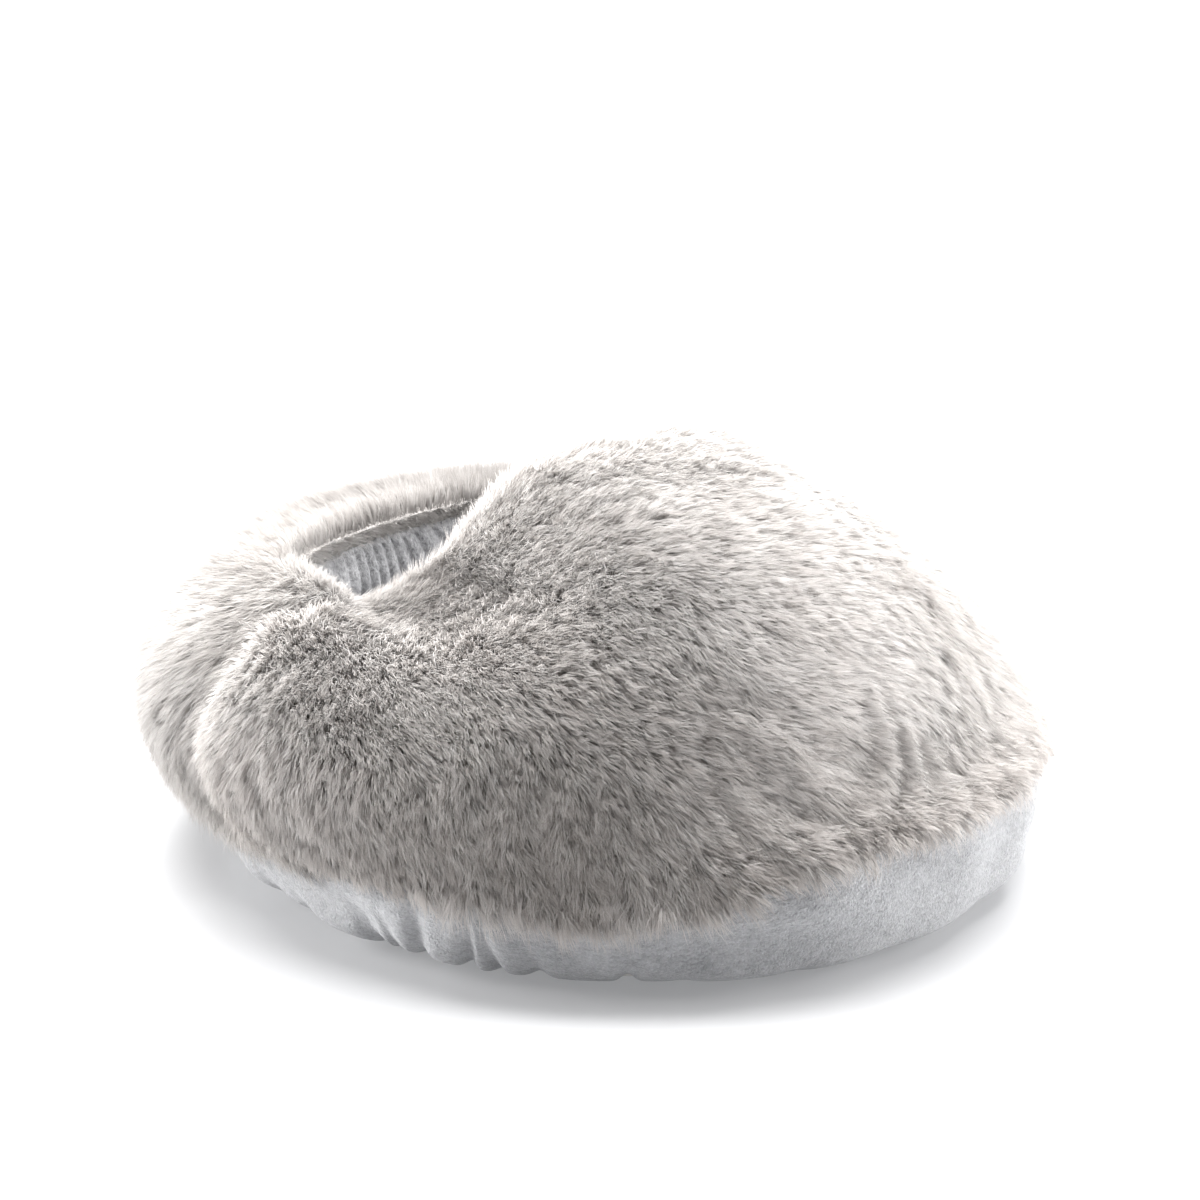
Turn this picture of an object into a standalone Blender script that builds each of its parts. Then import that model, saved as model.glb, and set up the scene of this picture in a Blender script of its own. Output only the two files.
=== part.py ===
# An electric foot warmer: one round plush slipper for both feet, on a velvet-sided foam base
# that holds a heating pad under the footbed.
#
# The toes point along -Y and the heels along +Y, and the sole lies on Z = 0. Ovals are drawn
# round the middle of the base, and an angle on one starts at +X and turns towards the heel.
# The soft wall of the upper lies between two surfaces, the plush outside and the pocket inside.
# A position runs along both, from 0 at the seam over the base to the last ring at the mouth.

import math

import bmesh
import bpy
import numpy as np

MM = 0.001

# Clearances
GAP = 0.3 * MM
CUT_OVERRUN = 6.0 * MM

# Plush upper, outside
BODY_HALF_WIDTH = 174.0 * MM
BODY_TOE_REACH = 165.0 * MM
BODY_HEEL_REACH = 214.0 * MM
CREST_HEIGHT = 168.0 * MM
SIDE_HEIGHT = 120.0 * MM
COLLAR_HEIGHT = 109.0 * MM

# Mouth, at the seam between plush and lining
MOUTH_HALF_WIDTH = 98.0 * MM
MOUTH_FRONT_SETBACK = 20.0 * MM
MOUTH_BACK_REACH = 133.0 * MM
MOUTH_SIDE_HEIGHT = 111.0 * MM
MOUTH_FRONT_HEIGHT = 151.0 * MM
MOUTH_BACK_HEIGHT = 102.0 * MM
SEAM_STEP = 3.0 * MM
SEAM_TUCK = 5.0 * MM

# Base, at the seam between plush and velvet
BASE_HALF_WIDTH = 162.0 * MM
BASE_TOE_REACH = 164.0 * MM
BASE_HEEL_REACH = 166.0 * MM
SEAM_SIDE_HEIGHT = 36.0 * MM
SEAM_TOE_HEIGHT = 45.0 * MM
SEAM_HEEL_HEIGHT = 18.0 * MM

# Pocket, set in from the base at its floor and from the body above it
FLOOR_SIDE_INSET = 30.0 * MM
FLOOR_TOE_INSET = 26.0 * MM
FLOOR_HEEL_INSET = 42.0 * MM
FLOOR_HEIGHT = 37.0 * MM
POCKET_SIDE_INSET = 26.0 * MM
POCKET_TOE_INSET = 18.0 * MM
POCKET_HEEL_SWELL = 11.0 * MM
FLOOR_HALF_WIDTH = BASE_HALF_WIDTH - FLOOR_SIDE_INSET
FLOOR_TOE_REACH = BASE_TOE_REACH - FLOOR_TOE_INSET
FLOOR_HEEL_REACH = BASE_HEEL_REACH - FLOOR_HEEL_INSET
POCKET_HALF_WIDTH = BODY_HALF_WIDTH - POCKET_SIDE_INSET
POCKET_TOE_REACH = BODY_TOE_REACH - POCKET_TOE_INSET
POCKET_HEEL_REACH = FLOOR_HEEL_REACH + POCKET_HEEL_SWELL

# Layers of the soft wall
PLUSH_THICKNESS = 7.0 * MM
LINING_THICKNESS = 2.5 * MM
WADDING_ROOM = 1.9 * MM
ELASTIC_THICKNESS = 1.2 * MM
PLUSH_LIP_SHARE = 0.5
LINING_LIP_SHARE = 0.4

# Places up the wall, as shares of the way from the seam over the base to the mouth. The four of
# a fold are where it starts, is full, starts to fade and has gone.
WADDING_END_SHARE = 0.85
ELASTIC_START_SHARE = 0.8625
ELASTIC_END_SHARE = 0.90
CREASE_SHARES = (0.025, 0.15, 0.70, 0.875)
DIP_RISE_SHARES = (0.45, 0.75)
HOOD_FLUTE_SHARES = (0.0, 0.15, 0.15, 0.625)
COLLAR_FLUTE_SHARES = (0.0, 0.425, 0.425, 0.85)
PLEAT_SHARES = (0.125, 0.75, 0.9375, 1.0)

# Folds of the upper
CREASE_DEPTH = 7.0 * MM
CREASE_BASE_ANGLE = math.radians(15.0)
CREASE_SPREAD = math.radians(7.0)
DIP_DEPTH = 17.0 * MM
DIP_ANGLES = [math.radians(angle) for angle in (0.0, 28.0, 42.0, 70.0)]
FLUTE_DEPTH = 3.0 * MM
HOOD_FLUTES = 14
COLLAR_FLUTES = 8
PLEAT_DEPTH = 3.0 * MM
PLEATS = 28
SAMPLES_PER_FOLD = 3
TOE_RISE_POWER = 1.4
HEEL_RISE_POWER = 2.0

# Velvet band, drawn in to the sole
SOLE_SIDE_INSET = 29.0 * MM
SOLE_TOE_INSET = 24.0 * MM
SOLE_HEEL_INSET = 26.0 * MM
SOLE_HALF_WIDTH = BASE_HALF_WIDTH - SOLE_SIDE_INSET
SOLE_TOE_REACH = BASE_TOE_REACH - SOLE_TOE_INSET
SOLE_HEEL_REACH = BASE_HEEL_REACH - SOLE_HEEL_INSET
HEM_HEIGHT = 0.5 * MM
BAND_THICKNESS = 2.5 * MM
PUCKER_DEPTH = 1.4 * MM
PUCKERS = 44
HEM_CORD_RADIUS = 1.2 * MM
HEM_CORD_SETOUT = 9.0 * MM
HEM_CORD_HEIGHT = 5.0 * MM

# Base layers
SOLE_THICKNESS = 1.6 * MM
FOAM_UNDERCUT = 11.0 * MM
TRAY_LIP = 1.5 * MM
FLEECE_THICKNESS = 2.6 * MM
FELT_THICKNESS = 0.9 * MM
FOIL_THICKNESS = 0.3 * MM
FOIL_INSET = 4.0 * MM
DISC_DIVISIONS = 64

# Heating pad, set in from the pocket's floor
PAD_SIDE_MARGIN = 12.0 * MM
PAD_END_MARGIN = 13.0 * MM
PAD_RIM_WIDTH = 7.0 * MM
WIRE_RADIUS = 0.95 * MM
WIRE_RUNS = 8
WIRE_EDGE_MARGIN = 7.0 * MM
WIRE_TOE_MARGIN = 48.0 * MM
WIRE_HEEL_MARGIN = 34.0 * MM
WIRE_STRAIGHT_END = 5.0 * MM
TURN_POINTS = 5
SAFETY_MARGIN = 28.0 * MM
SAFETY_Y = 20.0 * MM
TURN_TO_SAFETY = 18.0 * MM
TAIL_TO_SAFETY = 37.0 * MM
PAD_HALF_WIDTH = FLOOR_HALF_WIDTH - PAD_SIDE_MARGIN
PAD_TOE_REACH = FLOOR_TOE_REACH - PAD_END_MARGIN
PAD_HEEL_REACH = FLOOR_HEEL_REACH - PAD_END_MARGIN
FIRST_RUN_Y = WIRE_TOE_MARGIN - PAD_TOE_REACH
LAST_RUN_Y = PAD_HEEL_REACH - WIRE_HEEL_MARGIN
WIRE_PITCH = (LAST_RUN_Y - FIRST_RUN_Y) / (WIRE_RUNS - 1)
SAFETY_X = PAD_HALF_WIDTH - SAFETY_MARGIN
WIRE_TURN_LIMIT = SAFETY_X - TURN_TO_SAFETY
WIRE_TAIL_START = SAFETY_X - TAIL_TO_SAFETY
THERMOSTAT_LENGTH = 18.0 * MM
THERMOSTAT_WIDTH = 8.0 * MM
THERMOSTAT_HEIGHT = 2.9 * MM
THERMOSTAT_ROUNDING = 0.8 * MM
FUSE_LENGTH = 14.0 * MM
FUSE_RADIUS = 1.45 * MM
FUSE_NECK_RADIUS = 1.0 * MM
FUSE_TAPER = 2.0 * MM
LEAD_RADIUS = 1.0 * MM

# Inlet in the band, at +X
INLET_SETBACK = 1.0 * MM
INLET_FACE = BASE_HALF_WIDTH - INLET_SETBACK
INLET_HEIGHT = 18.0 * MM
BARREL_LENGTH = 20.0 * MM
RIVET_OUTSET = 3.2 * MM
RIVET_EDGE = 3.3 * MM
RIVET_SPACING = BARREL_LENGTH + 2 * RIVET_OUTSET
FLANGE_LENGTH = RIVET_SPACING + 2 * RIVET_EDGE
FLANGE_HEIGHT = 16.0 * MM
FLANGE_THICKNESS = 2.0 * MM
FLANGE_ROUNDING = 3.0 * MM
BARREL_HEIGHT = 12.0 * MM
BARREL_DEPTH = 22.0 * MM
BARREL_ROUNDING = 2.5 * MM
SOCKET_WALL = 2.0 * MM
SOCKET_DEPTH = 17.0 * MM
PIN_RADIUS = 1.2 * MM
PIN_SPACING = 8.6 * MM
PIN_TIP_SETBACK = 4.0 * MM
PIN_TAIL = 4.0 * MM
PIN_ROUNDING = 0.5 * MM
CLAMP_THICKNESS = 1.5 * MM
RIVET_RADIUS = 1.2 * MM
RIVET_HEAD_RADIUS = 2.2 * MM
RIVET_HEAD_THICKNESS = 1.0 * MM
FLAT_MARGIN = 1.5 * MM
FLAT_HALF_LENGTH = FLANGE_LENGTH / 2 + FLAT_MARGIN
FLAT_FADE = 12.0 * MM
FLAT_LOW = 3.0 * MM
FLAT_LOW_FULL = 6.0 * MM
FLAT_HIGH_FULL = 27.0 * MM
FLAT_HIGH = 33.0 * MM
WELL_BACK_ROOM = 6.0 * MM
WELL_SIDE_ROOM = 1.0 * MM
CHANNEL_LAP = 1.0 * MM
CHANNEL_HALF_WIDTH = 8.0 * MM
CHANNEL_FLOOR = 15.0 * MM
ROUND_SIDES = 16

# The tail of the heating wire, as shares of the way from its last run to the straight end at a
# safety part: across the feet and along them
WIRE_TAIL_SHARES = [(0.30, 0.04), (0.57, 0.20), (0.78, 0.43), (0.93, 0.70)]

# A lead, as shares of the way from its safety part to its pin: x, y and height
LEAD_SHARES = [(0.0, 0.0, 0.0), (0.023, 0.273, 0.004), (0.117, 0.597, 0.004),
               (0.258, 0.825, 0.004), (0.422, 0.955, 0.011), (0.585, 0.994, 0.019),
               (0.703, 1.0, 0.065), (0.785, 1.0, 0.24), (0.843, 1.0, 0.544),
               (0.890, 1.0, 0.825), (0.941, 1.0, 0.985), (1.0, 1.0, 1.0)]

# A share is -1 at the seam over the base, 0 where the body is widest or highest and 1 at the
# mouth. Columns: half width, toe reach, heel reach, side height, toe height, heel height.
OUTSIDE_SHARES = [(-1.0, -1.0, -1.0, -1.0, -1.0, -1.0),
                  (-0.25, 0.0, -0.30, -0.90, -0.94, -0.91),
                  (0.0, 0.065, 0.0, -0.67, -0.83, -0.52),
                  (0.145, 0.125, 0.075, -0.40, -0.62, -0.24),
                  (0.395, 0.255, 0.30, -0.19, -0.375, -0.077),
                  (0.62, 0.47, 0.57, -0.06, -0.14, -0.01),
                  (0.80, 0.74, 0.78, 0.0, 0.0, 0.0),
                  (0.92, 0.945, 0.90, 0.33, 0.06, 0.29),
                  (1.0, 1.0, 1.0, 1.0, 1.0, 1.0)]
POCKET_SHARES = [(-1.0, -1.0, -1.0, -1.0, -1.0, -1.0),
                 (-0.25, 0.0, -0.18, -0.81, -0.88, -0.92),
                 (0.0, 0.025, 0.0, -0.58, -0.735, -0.78),
                 (0.13, 0.135, 0.20, -0.35, -0.55, -0.62),
                 (0.375, 0.29, 0.60, -0.17, -0.35, -0.45),
                 (0.62, 0.49, 0.80, -0.06, -0.15, -0.30),
                 (0.83, 0.725, 1.0, -0.015, -0.02, -0.17),
                 (0.945, 0.92, 1.0, -0.015, 0.0, -0.07),
                 (1.0, 1.0, 1.0, 0.0, 0.0, 0.0)]
# Here -1 is at the hem and 0 at the seam over the base
BAND_SHARES = [(-1.0, -1.0, -1.0, -1.0, -1.0, -1.0),
               (-0.50, -0.45, -0.50, -0.90, -0.92, -0.80),
               (-0.17, -0.10, -0.14, -0.70, -0.72, -0.50),
               (0.0, 0.0, 0.0, -0.34, -0.34, -0.22),
               (0.0, 0.0, 0.0, 0.0, 0.0, 0.0)]

OUTSIDE_STOPS = [(BASE_HALF_WIDTH, BODY_HALF_WIDTH, MOUTH_HALF_WIDTH),
                 (BASE_TOE_REACH, BODY_TOE_REACH, -MOUTH_FRONT_SETBACK),
                 (BASE_HEEL_REACH, BODY_HEEL_REACH, MOUTH_BACK_REACH),
                 (SEAM_SIDE_HEIGHT, SIDE_HEIGHT, MOUTH_SIDE_HEIGHT),
                 (SEAM_TOE_HEIGHT, CREST_HEIGHT, MOUTH_FRONT_HEIGHT),
                 (SEAM_HEEL_HEIGHT, COLLAR_HEIGHT, MOUTH_BACK_HEIGHT)]
LINING_SIDE_TOP = MOUTH_SIDE_HEIGHT - SEAM_TUCK
LINING_FRONT_TOP = MOUTH_FRONT_HEIGHT - SEAM_TUCK
LINING_BACK_TOP = MOUTH_BACK_HEIGHT - SEAM_TUCK
POCKET_STOPS = [(FLOOR_HALF_WIDTH, POCKET_HALF_WIDTH, MOUTH_HALF_WIDTH - SEAM_STEP),
                (FLOOR_TOE_REACH, POCKET_TOE_REACH, -MOUTH_FRONT_SETBACK - SEAM_STEP),
                (FLOOR_HEEL_REACH, POCKET_HEEL_REACH, MOUTH_BACK_REACH - SEAM_STEP),
                (FLOOR_HEIGHT, LINING_SIDE_TOP, LINING_SIDE_TOP),
                (FLOOR_HEIGHT, LINING_FRONT_TOP, LINING_FRONT_TOP),
                (FLOOR_HEIGHT, LINING_BACK_TOP, LINING_BACK_TOP)]
BAND_STOPS = [(SOLE_HALF_WIDTH, BASE_HALF_WIDTH, BASE_HALF_WIDTH),
              (SOLE_TOE_REACH, BASE_TOE_REACH, BASE_TOE_REACH),
              (SOLE_HEEL_REACH, BASE_HEEL_REACH, BASE_HEEL_REACH),
              (HEM_HEIGHT, SEAM_SIDE_HEIGHT, SEAM_SIDE_HEIGHT),
              (HEM_HEIGHT, SEAM_TOE_HEIGHT, SEAM_TOE_HEIGHT),
              (HEM_HEIGHT, SEAM_HEEL_HEIGHT, SEAM_HEEL_HEIGHT)]

# The body's box is centred on the origin, so the middle of the base lies a little to the toe
BASE_Y = (BODY_TOE_REACH - BODY_HEEL_REACH) / 2
MOUTH = len(OUTSIDE_SHARES) - 1

# Heights of the layers in the base, from the pocket's floor down
FOOTBED_TOP = FLOOR_HEIGHT - GAP
FOOTBED_UNDER = FOOTBED_TOP - FLEECE_THICKNESS
PAD_TOP = FOOTBED_UNDER - GAP
WIRE_FLOOR = PAD_TOP - FELT_THICKNESS - GAP - THERMOSTAT_HEIGHT
WIRE_LEVEL = WIRE_FLOOR + THERMOSTAT_HEIGHT / 2
LOW_FELT_TOP = WIRE_FLOOR - GAP
LOW_FELT_UNDER = LOW_FELT_TOP - FELT_THICKNESS
FOIL_TOP = LOW_FELT_UNDER - GAP
TRAY_FLOOR = FOIL_TOP - FOIL_THICKNESS - GAP
FOAM_UNDER = SOLE_THICKNESS + GAP


def between(stops, share):
    """The length at a share from -1 to 1 along three stops."""
    low, middle, high = stops
    if share > 0:
        return middle + (high - middle) * share
    return middle + (middle - low) * share


def ring_keys(shares, stops):
    """Rows of the six lengths that draw an oval ring."""
    return np.array([[between(stop, share) for stop, share in zip(stops, row)] for row in shares])


def smooth_key(keys, position):
    """The ring's lengths at a position, on a smooth curve through the key rings."""
    last = len(keys) - 1
    index = np.clip(np.floor(position).astype(int), 0, last - 1)
    part = (position - index)[..., None]
    before = keys[np.clip(index - 1, 0, last)]
    start = keys[index]
    end = keys[index + 1]
    after = keys[np.clip(index + 2, 0, last)]
    bend = 2 * before - 5 * start + 4 * end - after
    twist = 3 * start - before - 3 * end + after
    return (2 * start + (end - before) * part + bend * part**2 + twist * part**3) / 2


def oval(key, angle, inset=0.0):
    """A point of an oval ring, whose toe, side and heel may each have their own height."""
    half_width = key[..., 0] - inset
    toe = key[..., 1] - inset
    heel = key[..., 2] - inset
    across, along = np.cos(angle), np.sin(angle)
    power = np.where(along > 0, HEEL_RISE_POWER, TOE_RISE_POWER)
    rise = 1 - (across * across) ** power
    end_height = np.where(along > 0, key[..., 5], key[..., 4])
    x = half_width * across
    y = BASE_Y + (heel - toe) / 2 + (heel + toe) / 2 * along
    z = key[..., 3] + (end_height - key[..., 3]) * rise
    return np.stack([x, y, z], axis=-1)


def flat_oval(half_width, toe, heel, height, angle):
    """A level ring of an oval."""
    key = np.array([half_width, toe, heel, height, height, height])
    return oval(np.broadcast_to(key, (len(angle), len(key))), angle)


def smooth_step(value, start, end):
    """0 before start, 1 after end, and a smooth turn between them."""
    part = np.clip((value - start) / (end - start), 0, 1)
    return part * part * (3 - 2 * part)


def window(position, shares):
    """How much of a fold there is at a position, by the four shares of the way up that it has."""
    start, full, fade, end = [share * MOUTH for share in shares]
    return smooth_step(position, start, full) * (1 - smooth_step(position, fade, end))


def round_angles(count):
    return np.arange(count) * (2 * math.pi / count)


OUTSIDE = ring_keys(OUTSIDE_SHARES, OUTSIDE_STOPS)
POCKET = ring_keys(POCKET_SHARES, POCKET_STOPS)
BAND = ring_keys(BAND_SHARES, BAND_STOPS)


def crease_angle(position):
    """How far behind the side the hood meets the collar."""
    return CREASE_BASE_ANGLE * (1 - position / MOUTH)


def lip_dip(position, behind):
    """How far the mouth's lip dips beside the feet, where the hood starts to rise."""
    start, full, fade, end = DIP_ANGLES
    round_way = smooth_step(-behind, start, full) * (1 - smooth_step(-behind, fade, end))
    return DIP_DEPTH * round_way * smooth_step(position / MOUTH, *DIP_RISE_SHARES)


def wall(position, angle):
    """The outside point, the direction inward and the thickness of the soft wall there."""
    outside = oval(smooth_key(OUTSIDE, position), angle)
    behind = np.arctan2(np.sin(angle), np.abs(np.cos(angle)))
    off_crease = (behind - crease_angle(position)) / CREASE_SPREAD
    groove = CREASE_DEPTH * np.exp(-off_crease**2) * window(position, CREASE_SHARES)
    middle = np.array([0.0, BASE_Y])
    spoke = outside[..., :2] - middle
    reach = np.linalg.norm(spoke, axis=-1, keepdims=True)
    outside[..., :2] -= spoke / reach * groove[..., None]
    chord = oval(smooth_key(POCKET, position), angle) - outside
    thickness = np.linalg.norm(chord, axis=-1)
    outside[..., 2] -= lip_dip(position, behind)
    return outside, chord / thickness[..., None], thickness


def plush_depth(thickness):
    return np.minimum(PLUSH_THICKNESS, PLUSH_LIP_SHARE * thickness)


def lining_depth(thickness):
    return thickness - np.minimum(LINING_THICKNESS, LINING_LIP_SHARE * thickness)


def at_depth(position, angle, depth_of):
    """Points of the wall at the depth that depth_of gives for the wall's thickness."""
    outside, inward, thickness = wall(position, angle)
    return outside + inward * depth_of(thickness)[..., None]


def wave(turns):
    return (1 - np.cos(2 * math.pi * turns)) / 2


def material(name, colour, roughness, metallic=0.0):
    made = bpy.data.materials.new(name)
    made.use_nodes = True
    shader = made.node_tree.nodes["Principled BSDF"]
    shader.inputs["Base Color"].default_value = (*colour, 1.0)
    shader.inputs["Roughness"].default_value = roughness
    shader.inputs["Metallic"].default_value = metallic
    made.diffuse_color = (*colour, 1.0)
    return made


def add_object(name, mesh, finish, sharp_angle=math.radians(40.0)):
    mesh.shade_smooth()
    mesh.set_sharp_from_angle(angle=sharp_angle)
    mesh.materials.append(finish)
    made = bpy.data.objects.new(name, mesh)
    bpy.context.scene.collection.objects.link(made)
    return made


def mesh_from(name, points, faces):
    """A closed mesh with its faces turned outwards."""
    shape = bmesh.new()
    verts = [shape.verts.new(tuple(point)) for point in points]
    for face in faces:
        shape.faces.new([verts[index] for index in face])
    bmesh.ops.recalc_face_normals(shape, faces=shape.faces)
    mesh = bpy.data.meshes.new(name)
    shape.to_mesh(mesh)
    shape.free()
    return mesh


def facets(corners, halved):
    """A four-sided face, or its two halves, cut the same way on each layer of the soft wall."""
    first, second, third, fourth = corners
    if halved:
        return [(first, second, third), (first, third, fourth)]
    return [corners]


def shell(name, front, back, finish, closed=False, halved=True):
    """A wall between two grids of points, rows first, closed round or capped at both ends."""
    rows, columns = front.shape[:2]
    points = np.concatenate([front.reshape(-1, 3), back.reshape(-1, 3)])
    behind = rows * columns
    faces = []
    for row in range(rows - 1):
        for column in range(columns if closed else columns - 1):
            here = row * columns + column
            beside = row * columns + (column + 1) % columns
            above, above_beside = here + columns, beside + columns
            outer = (here, beside, above_beside, above)
            inner = (behind + here, behind + above, behind + above_beside, behind + beside)
            faces += facets(outer, halved) + facets(inner, halved)
    for row in (0, rows - 1):
        for column in range(columns if closed else columns - 1):
            here = row * columns + column
            beside = row * columns + (column + 1) % columns
            faces.append((here, behind + here, behind + beside, beside))
    if not closed:
        for column in (0, columns - 1):
            for row in range(rows - 1):
                here = row * columns + column
                above = here + columns
                faces.append((here, above, behind + above, behind + here))
    return add_object(name, mesh_from(name, points, faces), finish)


def stack(name, rings, finish, sharp_angle=math.radians(40.0)):
    """A solid through a list of rings, the first and the last of them closed by a face."""
    count = len(rings[0])
    points = np.concatenate(rings)
    faces = [tuple(range(count)), tuple(range(len(points) - count, len(points)))]
    for ring in range(len(rings) - 1):
        for column in range(count):
            here = ring * count + column
            beside = ring * count + (column + 1) % count
            faces.append((here, beside, beside + count, here + count))
    return add_object(name, mesh_from(name, points, faces), finish, sharp_angle)


def tube(name, points, radius, finish, cyclic=False):
    """A round wire along points, with closed ends."""
    curve = bpy.data.curves.new(name, "CURVE")
    curve.dimensions = "3D"
    curve.bevel_depth = radius
    curve.bevel_resolution = 1
    curve.use_fill_caps = not cyclic
    line = curve.splines.new("POLY")
    line.points.add(len(points) - 1)
    for spline_point, point in zip(line.points, points):
        spline_point.co = (*point, 1.0)
    line.use_cyclic_u = cyclic
    curve.materials.append(finish)
    made = bpy.data.objects.new(name, curve)
    bpy.context.scene.collection.objects.link(made)
    return made


def smooth_route(points, steps):
    """Points read from a smooth curve through a route's own points."""
    keys = np.array(points)
    positions = np.linspace(0, len(keys) - 1, (len(keys) - 1) * steps + 1)
    return smooth_key(keys, positions)


def turned(name, profile, finish, start_x, y, z):
    """A piece turned about a line along X: a profile of places along X and radii."""
    rings = []
    angles = round_angles(ROUND_SIDES)
    for along, radius in profile:
        ring = np.stack([np.full(ROUND_SIDES, start_x + along), y + radius * np.cos(angles),
                         z + radius * np.sin(angles)], axis=-1)
        rings.append(ring)
    return stack(name, rings, finish)


def rounded_block(name, low, high, rounding, finish, along="X"):
    """A block whose four edges along one axis are rounded."""
    shape = bmesh.new()
    corner_low, corner_high = np.array(low), np.array(high)
    size, centre = corner_high - corner_low, (corner_low + corner_high) / 2
    bmesh.ops.create_cube(shape, size=1)
    bmesh.ops.scale(shape, verts=shape.verts, vec=size)
    bmesh.ops.translate(shape, verts=shape.verts, vec=centre)
    axis = "XYZ".index(along)
    edges = []
    for edge in shape.edges:
        run = edge.verts[1].co - edge.verts[0].co
        if abs(run[axis]) > run.length / 2:
            edges.append(edge)
    bmesh.ops.bevel(shape, geom=edges, offset=rounding, segments=3, profile=0.5, affect="EDGES")
    mesh = bpy.data.meshes.new(name)
    shape.to_mesh(mesh)
    shape.free()
    return add_object(name, mesh, finish)


def as_tool(tool):
    tool.hide_render = True
    tool.display_type = "WIRE"
    return tool


def combine(target, tool, operation):
    step = target.modifiers.new(tool.name, "BOOLEAN")
    step.operation = operation
    step.solver = "EXACT"
    step.object = as_tool(tool)


def block_tool(name, low, high):
    return rounded_block(name, low, high, GAP, STEEL)


def rod_tool(name, start_x, end_x, y, radius):
    return turned(name, [(0.0, radius), (end_x - start_x, radius)], STEEL, start_x, y, INLET_HEIGHT)


PLUSH = material("plush", (0.70, 0.67, 0.64), 0.95)
COLLAR_PLUSH = material("collar_plush", (0.76, 0.74, 0.71), 0.95)
FLEECE = material("fleece", (0.33, 0.33, 0.335), 0.95)
FOOTBED_FLEECE = material("footbed_fleece", (0.36, 0.36, 0.365), 0.95)
VELVET = material("velvet", (0.58, 0.58, 0.60), 0.9)
WADDING = material("wadding", (0.86, 0.86, 0.84), 1.0)
COLLAR_WADDING = material("collar_wadding", (0.84, 0.84, 0.82), 1.0)
ELASTIC = material("elastic", (0.80, 0.79, 0.76), 0.8)
HEM_CORD = material("hem_cord", (0.72, 0.72, 0.70), 0.8)
FOAM = material("foam", (0.75, 0.70, 0.52), 1.0)
SOLE = material("sole_cloth", (0.22, 0.22, 0.23), 0.85)
PAD_FELT = material("pad_felt", (0.80, 0.78, 0.73), 1.0)
LOW_FELT = material("low_felt", (0.76, 0.74, 0.70), 1.0)
FOIL = material("foil", (0.82, 0.82, 0.83), 0.25, 1.0)
ELEMENT = material("element", (0.70, 0.20, 0.12), 0.5)
THERMOSTAT = material("thermostat", (0.08, 0.08, 0.09), 0.5)
FUSE = material("fuse", (0.85, 0.83, 0.78), 0.35)
LIVE = material("live_lead", (0.28, 0.15, 0.08), 0.5)
NEUTRAL = material("neutral_lead", (0.08, 0.18, 0.45), 0.5)
HOUSING = material("housing", (0.10, 0.10, 0.11), 0.5)
CLAMP = material("clamp", (0.30, 0.30, 0.31), 0.6)
STEEL = material("steel", (0.60, 0.60, 0.62), 0.3, 1.0)
PIN_LIVE = material("pin_live", (0.78, 0.62, 0.32), 0.3, 1.0)
PIN_NEUTRAL = material("pin_neutral", (0.76, 0.60, 0.31), 0.3, 1.0)
RIVET_FRONT = material("rivet_front", (0.62, 0.62, 0.64), 0.35, 1.0)
RIVET_REAR = material("rivet_rear", (0.61, 0.61, 0.63), 0.35, 1.0)

# Rings along the soft wall, shared by its layers so that their facets lie side by side
WADDING_END = WADDING_END_SHARE * MOUTH
POSITIONS = np.array([0.0, 0.6, 1.3, 2.0, 3.0, 4.0, 5.0, 6.0, WADDING_END, 7.4, MOUTH])
WADDING_POSITIONS = POSITIONS[POSITIONS <= WADDING_END]
LINING_POSITIONS = np.array([0.0, 2.0, 4.0, 6.0, WADDING_END, 7.4, MOUTH])


def panel_grid(positions, flutes, hood):
    """Positions and angles over the hood or the collar, up to the crease between them."""
    turn = np.linspace(0, 1, flutes * SAMPLES_PER_FOLD + 1)
    seam = crease_angle(positions)[:, None]
    half_gap = GAP / 2 / MOUTH_HALF_WIDTH
    if hood:
        start, end = math.pi - seam + half_gap, 2 * math.pi + seam - half_gap
    else:
        start, end = seam + half_gap, math.pi - seam - half_gap
    angle = start + (end - start) * turn
    position = np.broadcast_to(positions[:, None], angle.shape)
    return position, angle, turn


def make_panel(name, flutes, hood, flute_shares, finish):
    """A plush panel, whose pile lies in soft flutes where it is gathered into its seam."""
    position, angle, turn = panel_grid(POSITIONS, flutes, hood)
    flute = FLUTE_DEPTH * wave(turn * flutes) * window(position, flute_shares)
    outside, inward, thickness = wall(position, angle)
    front = outside + inward * flute[..., None]
    back = outside + inward * plush_depth(thickness)[..., None]
    return shell(name, front, back, finish)


def straight_rows(places, rows, wanted):
    """Rows read at wanted places from straight lines between rows at other places."""
    index = np.clip(np.searchsorted(places, wanted, side="right") - 1, 0, len(places) - 2)
    part = (wanted - places[index]) / (places[index + 1] - places[index])
    return rows[index] + (rows[index + 1] - rows[index]) * part[:, None, None]


def make_wadding(name, flutes, hood, finish):
    """The filling between the plush and the lining, with its back on the lining's facets."""
    position, angle, _ = panel_grid(WADDING_POSITIONS, flutes, hood)
    front = at_depth(position, angle, lambda thickness: plush_depth(thickness) + 2 * GAP)
    position, angle, _ = panel_grid(LINING_POSITIONS, flutes, hood)
    back = at_depth(position, angle, lambda thickness: lining_depth(thickness) - WADDING_ROOM)
    return shell(name, front, straight_rows(LINING_POSITIONS, back, WADDING_POSITIONS), finish)


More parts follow.
